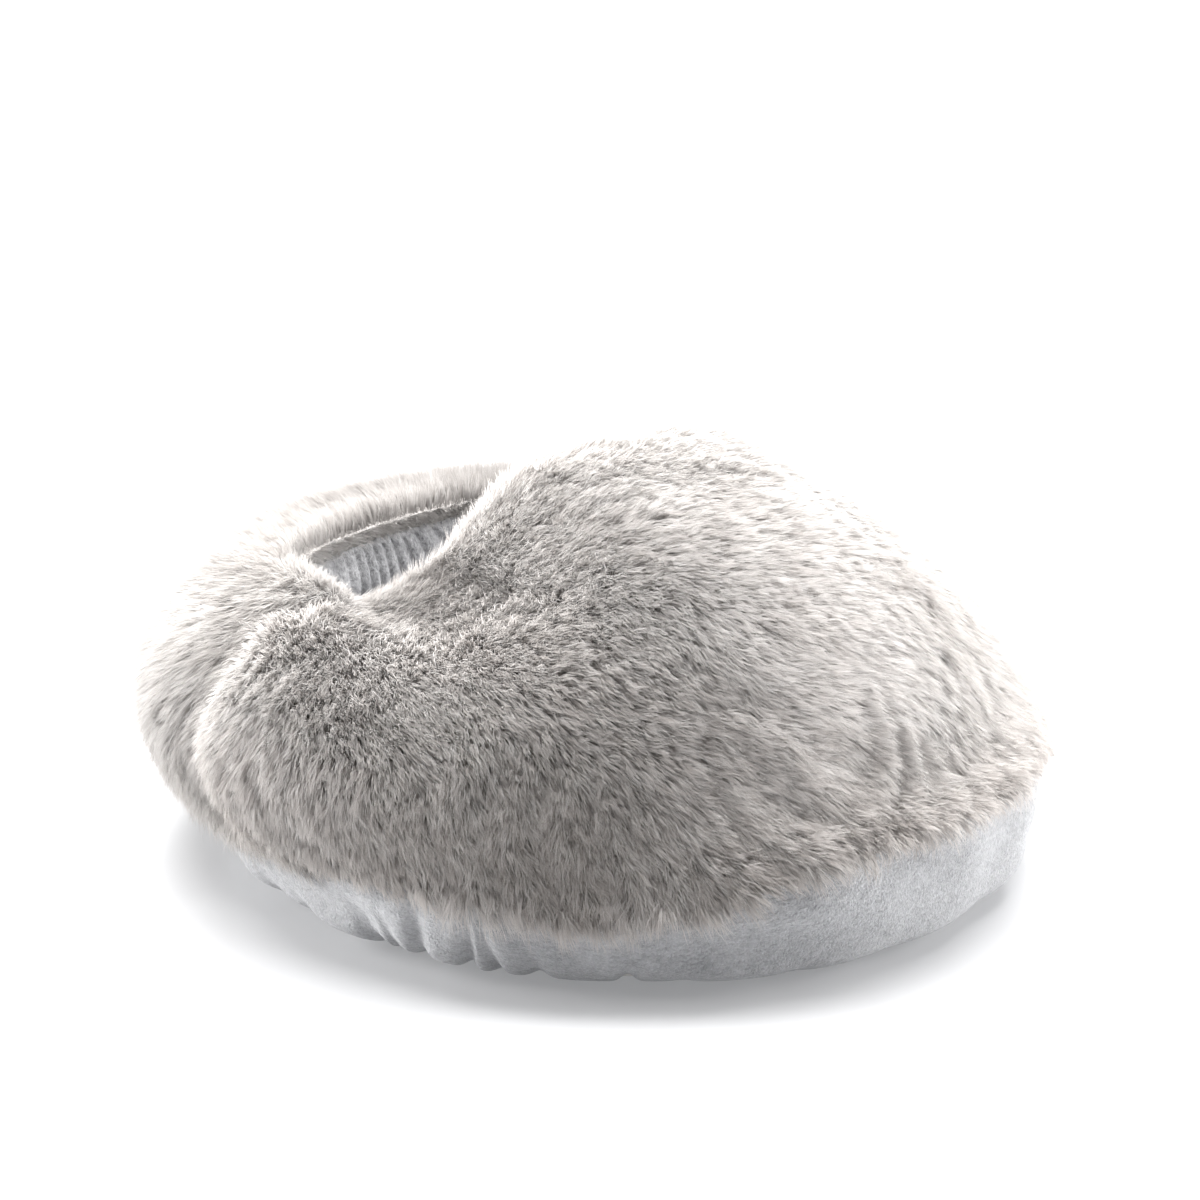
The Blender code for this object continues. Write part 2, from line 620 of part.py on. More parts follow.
def make_lining():
    """The gathered fleece wall of the pocket, with a row of pleats that fade downwards."""
    angles = round_angles(PLEATS * SAMPLES_PER_FOLD)
    position = np.repeat(LINING_POSITIONS[:, None], len(angles), axis=1)
    angle = np.broadcast_to(angles, position.shape)
    outside, inward, thickness = wall(position, angle)
    pleat = PLEAT_DEPTH * wave(angle * PLEATS / (2 * math.pi)) * window(position, PLEAT_SHARES)
    front = outside + inward * (thickness + pleat)[..., None]
    back = outside + inward * lining_depth(thickness)[..., None]
    return shell("pocket_lining", front, back, FLEECE, closed=True)


def make_mouth_elastic():
    """The tape behind the mouth's seam that gathers the plush and the lining."""
    angles = round_angles(DISC_DIVISIONS)
    position = np.repeat(POSITIONS[:, None], len(angles), axis=1)
    angle = np.broadcast_to(angles, position.shape)
    front = at_depth(position, angle, lambda thickness: plush_depth(thickness) + 2 * GAP)
    back = at_depth(position, angle,
                    lambda thickness: plush_depth(thickness) + 2 * GAP + ELASTIC_THICKNESS)
    tape = np.array([ELASTIC_START_SHARE, ELASTIC_END_SHARE]) * MOUTH
    return shell("mouth_elastic", straight_rows(POSITIONS, front, tape),
                 straight_rows(POSITIONS, back, tape), ELASTIC, closed=True)


def seam_ring(angle, depth, drop):
    """A ring on the underside of the soft wall, a depth in from the seam over the base."""
    ring = at_depth(np.zeros_like(angle), angle, lambda thickness: thickness * 0 + depth)
    ring[..., 2] -= drop
    return ring


def band_rings(angle, inset, puckered):
    """The velvet band's rings from the hem up, drawn in at the puckers and flat at the inlet."""
    rings = []
    for position in (0.0, 1.0, 1.5, 2.0, 3.0):
        key = smooth_key(BAND, np.full(len(angle), position))
        ring = oval(key, angle)
        if puckered:
            side = smooth_step(np.abs(np.cos(angle)), 0.5, 0.8)
            fold = wave(angle * PUCKERS / (2 * math.pi)) * side * wave(position / 4)
            ring[:, 0] -= np.cos(angle) * fold * PUCKER_DEPTH
            ring[:, 1] -= np.sin(angle) * fold * PUCKER_DEPTH
        beside = np.abs(ring[:, 1] - BASE_Y)
        patch = 1 - smooth_step(beside, FLAT_HALF_LENGTH, FLAT_HALF_LENGTH + FLAT_FADE)
        patch = patch * smooth_step(ring[:, 2], FLAT_LOW, FLAT_LOW_FULL) * (ring[:, 0] > 0)
        patch = patch * (1 - smooth_step(ring[:, 2], FLAT_HIGH_FULL, FLAT_HIGH))
        ring[:, 0] += (INLET_FACE - ring[:, 0]) * patch
        if inset:
            inner = oval(key, angle, inset) - oval(key, angle)
            ring += inner
        rings.append(ring)
    return rings


def make_band():
    angles = round_angles(PUCKERS * SAMPLES_PER_FOLD)
    front = band_rings(angles, 0.0, True) + [seam_ring(angles, 0.0, GAP)]
    back = band_rings(angles, BAND_THICKNESS, False) + [seam_ring(angles, BAND_THICKNESS, GAP)]
    band = shell("base_band", np.array(front), np.array(back), VELVET, closed=True, halved=False)
    combine(band, barrel_hole("band_barrel_cut"), "DIFFERENCE")
    for side in (-1, 1):
        combine(band, rivet_hole("band_rivet_cut", side), "DIFFERENCE")
    return band


def make_hem_cord():
    angles = round_angles(DISC_DIVISIONS)
    ring = flat_oval(SOLE_HALF_WIDTH + HEM_CORD_SETOUT, SOLE_TOE_REACH + HEM_CORD_SETOUT,
                     SOLE_HEEL_REACH + HEM_CORD_SETOUT, HEM_CORD_HEIGHT, angles)
    return tube("hem_elastic", ring, HEM_CORD_RADIUS, HEM_CORD, cyclic=True)


def make_sole():
    angles = round_angles(DISC_DIVISIONS)
    inset = BAND_THICKNESS + GAP
    rings = []
    for height in (0.0, SOLE_THICKNESS):
        rings.append(flat_oval(SOLE_HALF_WIDTH - inset, SOLE_TOE_REACH - inset,
                               SOLE_HEEL_REACH - inset, height, angles))
    return stack("sole_cloth", rings, SOLE)


def make_foam():
    """The tray of foam: undercut at the hem, rimmed round the heating pad."""
    angles = round_angles(DISC_DIVISIONS)
    side_inset = BAND_THICKNESS + 2 * GAP
    under = flat_oval(SOLE_HALF_WIDTH - FOAM_UNDERCUT, SOLE_TOE_REACH - FOAM_UNDERCUT,
                      SOLE_HEEL_REACH - FOAM_UNDERCUT, FOAM_UNDER, angles)
    low = oval(smooth_key(BAND, np.full(len(angles), 2.0)), angles, side_inset)
    high = oval(smooth_key(BAND, np.full(len(angles), 3.0)), angles, side_inset)
    rim_outer = seam_ring(angles, side_inset, 2 * GAP)
    rim_inner = at_depth(np.zeros_like(angles), angles, lambda thickness: thickness - TRAY_LIP)
    rim_inner[:, 2] -= 2 * GAP
    tray = flat_oval(FLOOR_HALF_WIDTH + GAP, FLOOR_TOE_REACH + GAP, FLOOR_HEEL_REACH + GAP,
                     TRAY_FLOOR, angles)
    foam = stack("foam_base", [under, low, high, rim_outer, rim_inner, tray], FOAM)
    half = FLANGE_LENGTH / 2 + WELL_SIDE_ROOM
    back = INLET_FACE - BARREL_DEPTH - WELL_BACK_ROOM
    well_floor = INLET_HEIGHT - FLANGE_HEIGHT / 2 - WELL_SIDE_ROOM
    well_top = FLOOR_HEIGHT + CUT_OVERRUN
    well = block_tool("foam_inlet_cut", (back, BASE_Y - half, well_floor),
                      (INLET_FACE + CUT_OVERRUN, BASE_Y + half, well_top))
    channel = block_tool("foam_lead_cut",
                         (PAD_HALF_WIDTH - CHANNEL_LAP, BASE_Y - CHANNEL_HALF_WIDTH,
                          CHANNEL_FLOOR),
                         (back + CUT_OVERRUN, BASE_Y + CHANNEL_HALF_WIDTH, well_top))
    combine(foam, well, "DIFFERENCE")
    combine(foam, channel, "DIFFERENCE")
    return foam


def make_footbed():
    angles = round_angles(DISC_DIVISIONS)
    rings = []
    for height in (FOOTBED_UNDER, FOOTBED_TOP):
        rings.append(flat_oval(FLOOR_HALF_WIDTH - GAP, FLOOR_TOE_REACH - GAP,
                               FLOOR_HEEL_REACH - GAP, height, angles))
    return stack("footbed_lining", rings, FOOTBED_FLEECE)


def pad_ring(angles, inset, height):
    return flat_oval(PAD_HALF_WIDTH - inset, PAD_TOE_REACH - inset, PAD_HEEL_REACH - inset,
                     height, angles)


def make_pad():
    """The heating pad's covers and its foil. The upper cover's rim comes down to the lower one."""
    angles = round_angles(DISC_DIVISIONS)
    rim_under = LOW_FELT_TOP + GAP
    rings = [pad_ring(angles, PAD_RIM_WIDTH + FELT_THICKNESS, PAD_TOP - FELT_THICKNESS),
             pad_ring(angles, FELT_THICKNESS, rim_under),
             pad_ring(angles, 0.0, rim_under),
             pad_ring(angles, PAD_RIM_WIDTH, PAD_TOP)]
    cover = stack("heater_cover_top", rings, PAD_FELT)
    notch = block_tool("cover_lead_cut",
                       (PAD_HALF_WIDTH - PAD_RIM_WIDTH, BASE_Y - CHANNEL_HALF_WIDTH,
                        LOW_FELT_TOP - GAP),
                       (PAD_HALF_WIDTH + CUT_OVERRUN, BASE_Y + CHANNEL_HALF_WIDTH,
                        PAD_TOP - FELT_THICKNESS))
    combine(cover, notch, "DIFFERENCE")
    stack("heater_cover_bottom", [pad_ring(angles, 0.0, LOW_FELT_UNDER),
                                  pad_ring(angles, 0.0, LOW_FELT_TOP)], LOW_FELT)
    stack("reflector_foil", [pad_ring(angles, FOIL_INSET, FOIL_TOP - FOIL_THICKNESS),
                             pad_ring(angles, FOIL_INSET, FOIL_TOP)], FOIL)


def pad_half_chord(y):
    """Half the pad's width at a place along the foot."""
    middle = (PAD_HEEL_REACH - PAD_TOE_REACH) / 2
    reach = (PAD_HEEL_REACH + PAD_TOE_REACH) / 2
    return PAD_HALF_WIDTH * math.sqrt(1 - ((y - middle) / reach) ** 2)


def turn_points(x, y, radius, side):
    """A half turn of the wire from the run at y to the next, towards +X or -X."""
    points = []
    for step in range(TURN_POINTS):
        angle = math.pi * step / (TURN_POINTS - 1) - math.pi / 2
        points.append((x + side * radius * math.cos(angle), y + radius + radius * math.sin(angle)))
    return points


def wire_tail(run_y, end_y, side):
    """From the end of a run round to the safety part, whose wire leaves it straight."""
    straight_y = end_y + side * WIRE_STRAIGHT_END
    keys = [(WIRE_TAIL_START, run_y)]
    for across, along in WIRE_TAIL_SHARES:
        keys.append((WIRE_TAIL_START + TAIL_TO_SAFETY * across,
                     run_y + (straight_y - run_y) * along))
    return smooth_route(keys + [(SAFETY_X, straight_y), (SAFETY_X, end_y)], 2).tolist()


def make_heating_wire():
    """One unbroken element: runs across the feet, joined by half turns, with both ends at +X."""
    radius = WIRE_PITCH / 2
    flat = []
    for run in range(WIRE_RUNS - 1):
        y = FIRST_RUN_Y + run * WIRE_PITCH
        edge = min(pad_half_chord(y), pad_half_chord(y + WIRE_PITCH)) - radius - WIRE_EDGE_MARGIN
        if run % 2 == 0:
            flat += turn_points(-edge, y, radius, -1)
        else:
            flat += turn_points(min(edge, WIRE_TURN_LIMIT), y, radius, 1)
    first = wire_tail(FIRST_RUN_Y, -SAFETY_Y - THERMOSTAT_LENGTH - GAP, -1)
    last = wire_tail(LAST_RUN_Y, SAFETY_Y + FUSE_LENGTH + GAP, 1)
    points = [(x, BASE_Y + y, WIRE_LEVEL) for x, y in first[::-1] + flat + last]
    return tube("heating_wire", points, WIRE_RADIUS, ELEMENT)


def make_safety_parts():
    low = (SAFETY_X - THERMOSTAT_WIDTH / 2, BASE_Y - SAFETY_Y - THERMOSTAT_LENGTH, WIRE_FLOOR)
    high = (SAFETY_X + THERMOSTAT_WIDTH / 2, BASE_Y - SAFETY_Y, WIRE_FLOOR + THERMOSTAT_HEIGHT)
    rounded_block("thermostat", low, high, THERMOSTAT_ROUNDING, THERMOSTAT, along="Y")
    profile = [(0.0, FUSE_NECK_RADIUS), (FUSE_TAPER, FUSE_RADIUS),
               (FUSE_LENGTH - FUSE_TAPER, FUSE_RADIUS), (FUSE_LENGTH, FUSE_NECK_RADIUS)]
    angles = round_angles(ROUND_SIDES)
    rings = []
    for along, radius in profile:
        y = BASE_Y + SAFETY_Y + along
        rings.append(np.stack([SAFETY_X + radius * np.cos(angles), np.full(ROUND_SIDES, y),
                               WIRE_LEVEL + radius * np.sin(angles)], axis=-1))
    stack("thermal_fuse", rings, FUSE)


def make_lead(name, side, finish):
    """A lead from its safety part, out under the pad's rim and down to the inlet's pin."""
    start = np.array([SAFETY_X, SAFETY_Y - GAP, WIRE_LEVEL])
    pin_end = INLET_FACE - BARREL_DEPTH - PIN_TAIL - GAP
    end = np.array([pin_end, PIN_SPACING / 2, INLET_HEIGHT])
    route = start + (end - start) * np.array(LEAD_SHARES)
    points = [(x, BASE_Y + side * y, z) for x, y, z in smooth_route(route, 2).tolist()]
    return tube(name, points, LEAD_RADIUS, finish)


def barrel_hole(name):
    """A cut that lets the inlet's barrel through, with a clearance all round."""
    half_length = BARREL_LENGTH / 2 + GAP
    half_height = BARREL_HEIGHT / 2 + GAP
    return block_tool(name, (INLET_FACE - BARREL_DEPTH / 2, BASE_Y - half_length,
                             INLET_HEIGHT - half_height),
                      (INLET_FACE + CUT_OVERRUN, BASE_Y + half_length,
                       INLET_HEIGHT + half_height))


def rivet_hole(name, side):
    return rod_tool(name, INLET_FACE - BARREL_DEPTH / 2, INLET_FACE + CUT_OVERRUN,
                    BASE_Y + side * RIVET_SPACING / 2, RIVET_RADIUS + GAP)


def make_inlet():
    """The two-pin inlet: a flange outside the band, with a hollow barrel through it."""
    seat = INLET_FACE + GAP
    half_length, half_height = FLANGE_LENGTH / 2, FLANGE_HEIGHT / 2
    housing = rounded_block("inlet_housing",
                            (seat, BASE_Y - half_length, INLET_HEIGHT - half_height),
                            (seat + FLANGE_THICKNESS, BASE_Y + half_length,
                             INLET_HEIGHT + half_height), FLANGE_ROUNDING, HOUSING)
    back = INLET_FACE - BARREL_DEPTH
    barrel = rounded_block("inlet_barrel",
                           (back, BASE_Y - BARREL_LENGTH / 2, INLET_HEIGHT - BARREL_HEIGHT / 2),
                           (seat + FLANGE_THICKNESS / 2, BASE_Y + BARREL_LENGTH / 2,
                            INLET_HEIGHT + BARREL_HEIGHT / 2), BARREL_ROUNDING, HOUSING)
    front = seat + FLANGE_THICKNESS
    inner_length = BARREL_LENGTH / 2 - SOCKET_WALL
    inner_height = BARREL_HEIGHT / 2 - SOCKET_WALL
    cavity = rounded_block("inlet_cavity",
                           (front - SOCKET_DEPTH, BASE_Y - inner_length,
                            INLET_HEIGHT - inner_height),
                           (front + CUT_OVERRUN, BASE_Y + inner_length,
                            INLET_HEIGHT + inner_height), SOCKET_WALL / 2, HOUSING)
    combine(housing, barrel, "UNION")
    combine(housing, cavity, "DIFFERENCE")
    for side in (-1, 1):
        combine(housing, rivet_hole("flange_rivet_cut", side), "DIFFERENCE")
        bore = rod_tool("pin_bore", back - CUT_OVERRUN, front, BASE_Y + side * PIN_SPACING / 2,
                        PIN_RADIUS + GAP)
        combine(housing, bore, "DIFFERENCE")
    pin_length = BARREL_DEPTH + GAP + FLANGE_THICKNESS - PIN_TIP_SETBACK + PIN_TAIL
    profile = [(0.0, PIN_RADIUS), (pin_length - PIN_ROUNDING, PIN_RADIUS),
               (pin_length, PIN_RADIUS - PIN_ROUNDING)]
    for name, side, finish in (("inlet_pin_live", -1, PIN_LIVE),
                               ("inlet_pin_neutral", 1, PIN_NEUTRAL)):
        turned(name, profile, finish, back - PIN_TAIL, BASE_Y + side * PIN_SPACING / 2,
               INLET_HEIGHT)
    return housing


def make_clamp():
    """The plate inside the band and the two rivets that draw it up to the flange."""
    plate_front = INLET_FACE - BAND_THICKNESS - GAP
    plate_back = plate_front - CLAMP_THICKNESS
    half_length, half_height = FLANGE_LENGTH / 2, FLANGE_HEIGHT / 2
    plate = rounded_block("inlet_clamp_plate",
                          (plate_back, BASE_Y - half_length, INLET_HEIGHT - half_height),
                          (plate_front, BASE_Y + half_length, INLET_HEIGHT + half_height),
                          FLANGE_ROUNDING, CLAMP)
    combine(plate, barrel_hole("clamp_barrel_cut"), "DIFFERENCE")
    head_back = plate_back - GAP
    head_front = INLET_FACE + GAP + FLANGE_THICKNESS + GAP
    thick = RIVET_HEAD_THICKNESS
    length = head_front - head_back
    profile = [(-thick, RIVET_RADIUS), (-thick / 2, RIVET_HEAD_RADIUS),
               (0.0, RIVET_HEAD_RADIUS), (0.0, RIVET_RADIUS), (length, RIVET_RADIUS),
               (length, RIVET_HEAD_RADIUS), (length + thick / 2, RIVET_HEAD_RADIUS),
               (length + thick, RIVET_RADIUS)]
    for name, side, finish in (("clamp_rivet_front", -1, RIVET_FRONT),
                               ("clamp_rivet_rear", 1, RIVET_REAR)):
        combine(plate, rivet_hole("clamp_rivet_cut", side), "DIFFERENCE")
        turned(name, profile, finish, head_back, BASE_Y + side * RIVET_SPACING / 2, INLET_HEIGHT)


def main():
    make_panel("fur_hood", HOOD_FLUTES, True, HOOD_FLUTE_SHARES, PLUSH)
    make_panel("fur_collar", COLLAR_FLUTES, False, COLLAR_FLUTE_SHARES, COLLAR_PLUSH)
    make_wadding("hood_wadding", HOOD_FLUTES, True, WADDING)
    make_wadding("collar_wadding", COLLAR_FLUTES, False, COLLAR_WADDING)
    make_lining()
    make_mouth_elastic()
    make_band()
    make_hem_cord()
    make_sole()
    make_foam()
    make_footbed()
    make_pad()
    make_heating_wire()
    make_safety_parts()
    make_lead("lead_live", -1, LIVE)
    make_lead("lead_neutral", 1, NEUTRAL)
    make_inlet()
    make_clamp()


for old in list(bpy.data.objects):
    bpy.data.objects.remove(old, do_unlink=True)
main()
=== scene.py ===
# The looks of an electric foot warmer: a round plush slipper for both feet on a velvet-sided base.
#
# Lengths are metres. The toes point along -Y, the heels along +Y, and the inlet is at +X. An angle
# on an oval starts at +X and turns towards the heel. A position on the soft wall runs from 0, at
# the seam over the base, to 8, at the mouth. Both are those of the solids.

import math

import bpy
import numpy as np
from mathutils import Matrix, Vector, kdtree


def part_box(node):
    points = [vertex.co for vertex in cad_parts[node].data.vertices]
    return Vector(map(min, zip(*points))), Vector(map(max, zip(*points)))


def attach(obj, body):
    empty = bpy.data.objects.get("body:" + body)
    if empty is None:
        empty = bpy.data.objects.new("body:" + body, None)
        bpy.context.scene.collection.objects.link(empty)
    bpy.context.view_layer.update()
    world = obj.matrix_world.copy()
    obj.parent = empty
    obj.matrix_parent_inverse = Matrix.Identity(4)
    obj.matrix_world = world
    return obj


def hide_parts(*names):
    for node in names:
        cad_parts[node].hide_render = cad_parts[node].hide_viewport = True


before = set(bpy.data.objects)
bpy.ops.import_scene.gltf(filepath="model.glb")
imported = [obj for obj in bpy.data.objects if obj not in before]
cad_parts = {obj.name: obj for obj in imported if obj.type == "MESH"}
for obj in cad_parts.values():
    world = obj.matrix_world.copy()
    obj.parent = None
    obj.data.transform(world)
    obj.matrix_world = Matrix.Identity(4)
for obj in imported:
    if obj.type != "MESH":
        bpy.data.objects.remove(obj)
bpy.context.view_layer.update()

MM = 0.001

# The soft wall, as in the solids. Heights are those of its side, toe and heel
BODY = dict(half_width=174 * MM, toe=165 * MM, heel=214 * MM)
BODY_HEIGHTS = (120 * MM, 168 * MM, 109 * MM)
MOUTH = dict(half_width=98 * MM, toe=-20 * MM, heel=133 * MM)
MOUTH_HEIGHTS = (111 * MM, 151 * MM, 102 * MM)
SEAM_STEP, SEAM_TUCK = 3 * MM, 5 * MM
BASE = dict(half_width=162 * MM, toe=164 * MM, heel=166 * MM)
SEAM_HEIGHTS = (36 * MM, 45 * MM, 18 * MM)
FLOOR = dict(half_width=132 * MM, toe=138 * MM, heel=124 * MM)
FLOOR_HEIGHT = 37 * MM
POCKET = dict(half_width=148 * MM, toe=147 * MM, heel=135 * MM)
SOLE = dict(half_width=133 * MM, toe=140 * MM, heel=140 * MM)
HEM_HEIGHT = 0.5 * MM
BASE_Y = (BODY["toe"] - BODY["heel"]) / 2
TOE_RISE_POWER, HEEL_RISE_POWER = 1.4, 2.0
LAST_RING = 8

# Columns: half width, toe reach, heel reach, side height, toe height, heel height
OUTSIDE_SHARES = [
    (-1.0, -1.0, -1.0, -1.0, -1.0, -1.0),
    (-0.25, 0.0, -0.30, -0.90, -0.94, -0.91),
    (0.0, 0.065, 0.0, -0.67, -0.83, -0.52),
    (0.145, 0.125, 0.075, -0.40, -0.62, -0.24),
    (0.395, 0.255, 0.30, -0.19, -0.375, -0.077),
    (0.62, 0.47, 0.57, -0.06, -0.14, -0.01),
    (0.80, 0.74, 0.78, 0.0, 0.0, 0.0),
    (0.92, 0.945, 0.90, 0.33, 0.06, 0.29),
    (1.0, 1.0, 1.0, 1.0, 1.0, 1.0)]
POCKET_SHARES = [
    (-1.0, -1.0, -1.0, -1.0, -1.0, -1.0),
    (-0.25, 0.0, -0.18, -0.81, -0.88, -0.92),
    (0.0, 0.025, 0.0, -0.58, -0.735, -0.78),
    (0.13, 0.135, 0.20, -0.35, -0.55, -0.62),
    (0.375, 0.29, 0.60, -0.17, -0.35, -0.45),
    (0.62, 0.49, 0.80, -0.06, -0.15, -0.30),
    (0.83, 0.725, 1.0, -0.015, -0.02, -0.17),
    (0.945, 0.92, 1.0, -0.015, 0.0, -0.07),
    (1.0, 1.0, 1.0, 0.0, 0.0, 0.0)]
BAND_SHARES = [
    (-1.0, -1.0, -1.0, -1.0, -1.0, -1.0),
    (-0.50, -0.45, -0.50, -0.90, -0.92, -0.80),
    (-0.17, -0.10, -0.14, -0.70, -0.72, -0.50),
    (0.0, 0.0, 0.0, -0.34, -0.34, -0.22),
    (0.0, 0.0, 0.0, 0.0, 0.0, 0.0)]

# Folds of the upper. A pair of positions or angles is where something sets in and where it is full,
# or where it starts to fade and where it is gone
CREASE_ANGLE, CREASE_MOUTH_ANGLE = math.radians(14), math.radians(-10)
CREASE_TURN, CREASE_IN, CREASE_OUT = (4.0, 6.1), (0.2, 1.2), (6.4, 7.6)
VALLEY_DEPTH, VALLEY_SPREAD = 7.5 * MM, math.radians(4.5)
VALLEY_LOSS, VALLEY_LOSS_RANGE = 0.6, (2.5, 5.0)
CREST_RISE, CREST_ANGLE, CREST_SPREAD = 3.5 * MM, math.radians(11), math.radians(8)
RIM_RAISE, RIM_ROUND, RIM_UP = 5 * MM, (0.1, 0.9), (5.5, 7.6)
DIP_DEPTH = 17 * MM
DIP_ANGLES = [math.radians(angle) for angle in (0.0, 28.0, 42.0, 70.0)]
DIP_SHARES = (0.45, 0.75)
LOBE_DEPTH, LOBE_SPREAD = 5 * MM, math.radians(5)
LOBE_LEFT, LOBE_RIGHT = math.radians(219), math.radians(321)
LOBE_LEAN, LOBE_MIDDLE, LOBE_IN, LOBE_OUT = 0.10, 6, (4.6, 5.6), (6.9, 8)
GATHER_DEPTH, GATHER_PITCH, GATHER_IN, GATHER_OUT = 2.6 * MM, 21 * MM, (0.1, 0.8), (2.2, 4.6)
GATHER_WANDER, GATHER_WANDER_LENGTH = 0.9, 90 * MM
GATHER_WANDER_STRETCH = np.array([1, 1, 0.35])
GATHER_STRENGTH, GATHER_VARIETY, GATHER_VARIETY_LENGTH = 0.75, 0.35, 70 * MM

# The lining's pleats. The sway is how many times and how far they crowd together on the way round
PLEATS, PLEAT_DEPTH, PLEAT_ROUNDNESS = 74, 4.0 * MM, 0.7
PLEAT_LEAN, PLEAT_LEAN_START = 4.5, 1.0
PLEAT_SWAYS, PLEAT_SWAY = 7, 0.7
PLEAT_MERGE, PLEAT_IN = (0.15, 0.6), (0.4, 5.0)
PLEAT_LIP_LOSS, PLEAT_LIP = 0.8, (7.6, 8.0)

# The band's folds at the left of the photograph. Columns: degrees round at the hem and at the seam,
# half width in degrees, depth in millimetres, and the share of the band's height that they reach
BAND_FOLDS = [
    (158, 152, 3.0, 2.0, 0.7), (168, 163, 2.6, 2.3, 0.8),
    (178.5, 171, 2.2, 3.0, 0.8), (189, 185.5, 1.7, 2.9, 0.85),
    (191.5, 190.5, 0.9, 2.2, 0.8), (194, 197, 1.3, 3.1, 1.0),
    (200.5, 204.5, 1.0, 3.6, 1.0), (206, 205.5, 0.9, 2.9, 0.9),
    (211.3, 211.8, 1.5, 2.3, 0.8), (223.3, 225, 1.2, 2.5, 0.9),
    (232, 230, 1.6, 1.0, 0.5), (246, 249, 2.6, 1.0, 0.5)]
FOLD_FADE_BELOW, FOLD_FADE_ABOVE = 0.45, 0.1
LOOSE_FOLDS, LOOSE_FOLD_DEPTH = 17, 2.4
LOOSE_START, LOOSE_SPAN, LOOSE_FULL_FROM, LOOSE_TOE_SHARE = 258, 250, 345, 0.4
BAND_PUFF, PUFF_IN, PUFF_OUT = 1.5 * MM, (0.2, 1.2), (3.0, 4.0)
BAND_SWAY, SWAY_LENGTH, SWAY_IN, SWAY_OUT = 1.1 * MM, 42 * MM, (0, 1), (3.4, 4.0)
SWAY_STRETCH = np.array([1, 1, 1.6])
HEM_LIFT_SHARE, HEM_LIFT_IN, HEM_LIFT_OUT = 0.8, (0.2, 0.8), (1.2, 2.4)
BAND_FOLLOWS_HEM = (1.5, 4.0)

# How far the plush's hem hangs below the seam round the base. Columns: degrees, millimetres
HEM_SHIFTS = [
    (0, 0), (40, 2), (80, 0), (120, 2), (168, 2), (180, 0), (190, -2), (199, 0),
    (210, 2), (216, 6), (224, 6), (229, 3), (233, 5), (240, 0), (250, -5), (262, -8),
    (300, -8), (325, 0)]

# Cloths. A grid is its columns and rows
HIDE_DEPTH, HIDE_THICKNESS, HIDE_ROWS = 4.5 * MM, 1 * MM, 48
HOOD_COLUMNS, COLLAR_COLUMNS = 240, 160
HIDE_LIP_SHARE, HIDE_SEAM_SHARE, HIDE_LIP_START = 0.36, 0.92, 7.3
HEM_ROLL, HEM_ROLL_END, HEM_LIFT_END = 6.5 * MM, 1.3, 2.5
INLET_CLEAR_ANGLE = math.radians(9)
LINING_THICKNESS, LINING_ROOM, LINING_GRID = 1.8 * MM, 3.5 * MM, (984, 44)
LINING_SWAY, LINING_SWAY_LENGTH = 0.5 * MM, 30 * MM
LINING_IN, LINING_OUT = (0.1, 0.9), (6.4, 7.6)
FOOTBED_SHARE, FOOTBED_GRID = 0.997, (96, 96)
FOOTBED_CROWN, FOOTBED_SWAY, FOOTBED_SWAY_LENGTH = 1.6 * MM, 0.5 * MM, 45 * MM
BAND_THICKNESS, BAND_GRID = 0.8 * MM, (900, 40)
SOLE_THICKNESS, SOLE_GRID, SOLE_RIM = 0.9 * MM, (64, 64), 0.05
DOT_RADIUS, DOT_HEIGHT, DOT_PITCH, DOT_REACH_SHARE = 1.8 * MM, 0.4 * MM, 12 * MM, 0.93
DOUBLES_DISTANCE = 0.01 * MM

# Plush strands. Spreads are those of a tuft, of a lock and of a strand in its lock
STRANDS_PER_PIECE = 55000
HOOD_PIECES, COLLAR_PIECES, HOOD_SEED, COLLAR_SEED = 6, 3, 100, 200
STRAND_WIDTHS = np.array([0.355, 0.28]) * MM
HOOD_PILE, COLLAR_PILE, PILE_START, PILE_END = 9 * MM, 11 * MM, 0.02, 7.95
TUFT_SPACING, LOCK_SPACING, MIDDLE_SPREAD_SHARE = 1.9 * MM, 7 * MM, 0.15
TUFT_PULL, LOCK_PULL, LOCK_PULL_HANGING, LOCK_PULL_HEM, PULL_POWER = 0.36, 0.04, 0.14, 0.22, 1.5
HANG_RANGE, HEM_RANGE, LIP_RANGE = (0.4, 3.2), (0.0, 1.0), (7.2, LAST_RING)
FLOOR_ROOM = 1.5 * MM

# The way that the pile lies
TOEWARD, OUTWARD_SAG = np.array([0.32, -0.95, -0.10]), np.array([0.0, 0.0, -0.15])
COMB_PARTING, COMB_HANG_RANGE = (-0.04, 0.04), (0.6, 3.4)
COMB_SIDE_ROUND, COMB_SIDE_OUT, COMB_HANG, COMB_SIDE = (0.35, 0.95), (4.5, 7.0), 0.85, 0.55
COMB_LIP, COMB_LIP_RANGE = 0.75, (6.9, 7.9)
SWIRLS = [(0.22, 75 * MM), (0.12, 24 * MM)]
TURN_SPREADS, HANGING_TANGLE = (0.14, 0.10, 0.14), 0.5
LIFT, LIFT_SPREADS, LIFT_DRIFT, LIFT_DRIFT_LENGTH = 0.62, (0.15, 0.07, 0.16), 0.08, 40 * MM
HEM_LIFT_LOSS, LIP_LIFT_LOSS, STRAND_BEND = 0.25, 0.1, 0.20
TWIST_SPREAD = 0.5

# The strands' lengths, as shares of the pile
LENGTH_SPREADS, LENGTH_LIMITS = (0.08, 0.06, 0.12), (0.5, 1.35)
LIP_LENGTH_LOSS, LIFTED_HEM_LENGTH_LOSS = 0.45, 0.3
NOTCH_LENGTH_LOSS, NOTCH_SPREAD, NOTCH_RANGE = 0.4, math.radians(8), (5.2, 6.6)
SKIRT_PILE_SHARE, SKIRT_SAG, SKIRT_DRIFT_LENGTH = 0.3, 2 * MM, 15 * MM

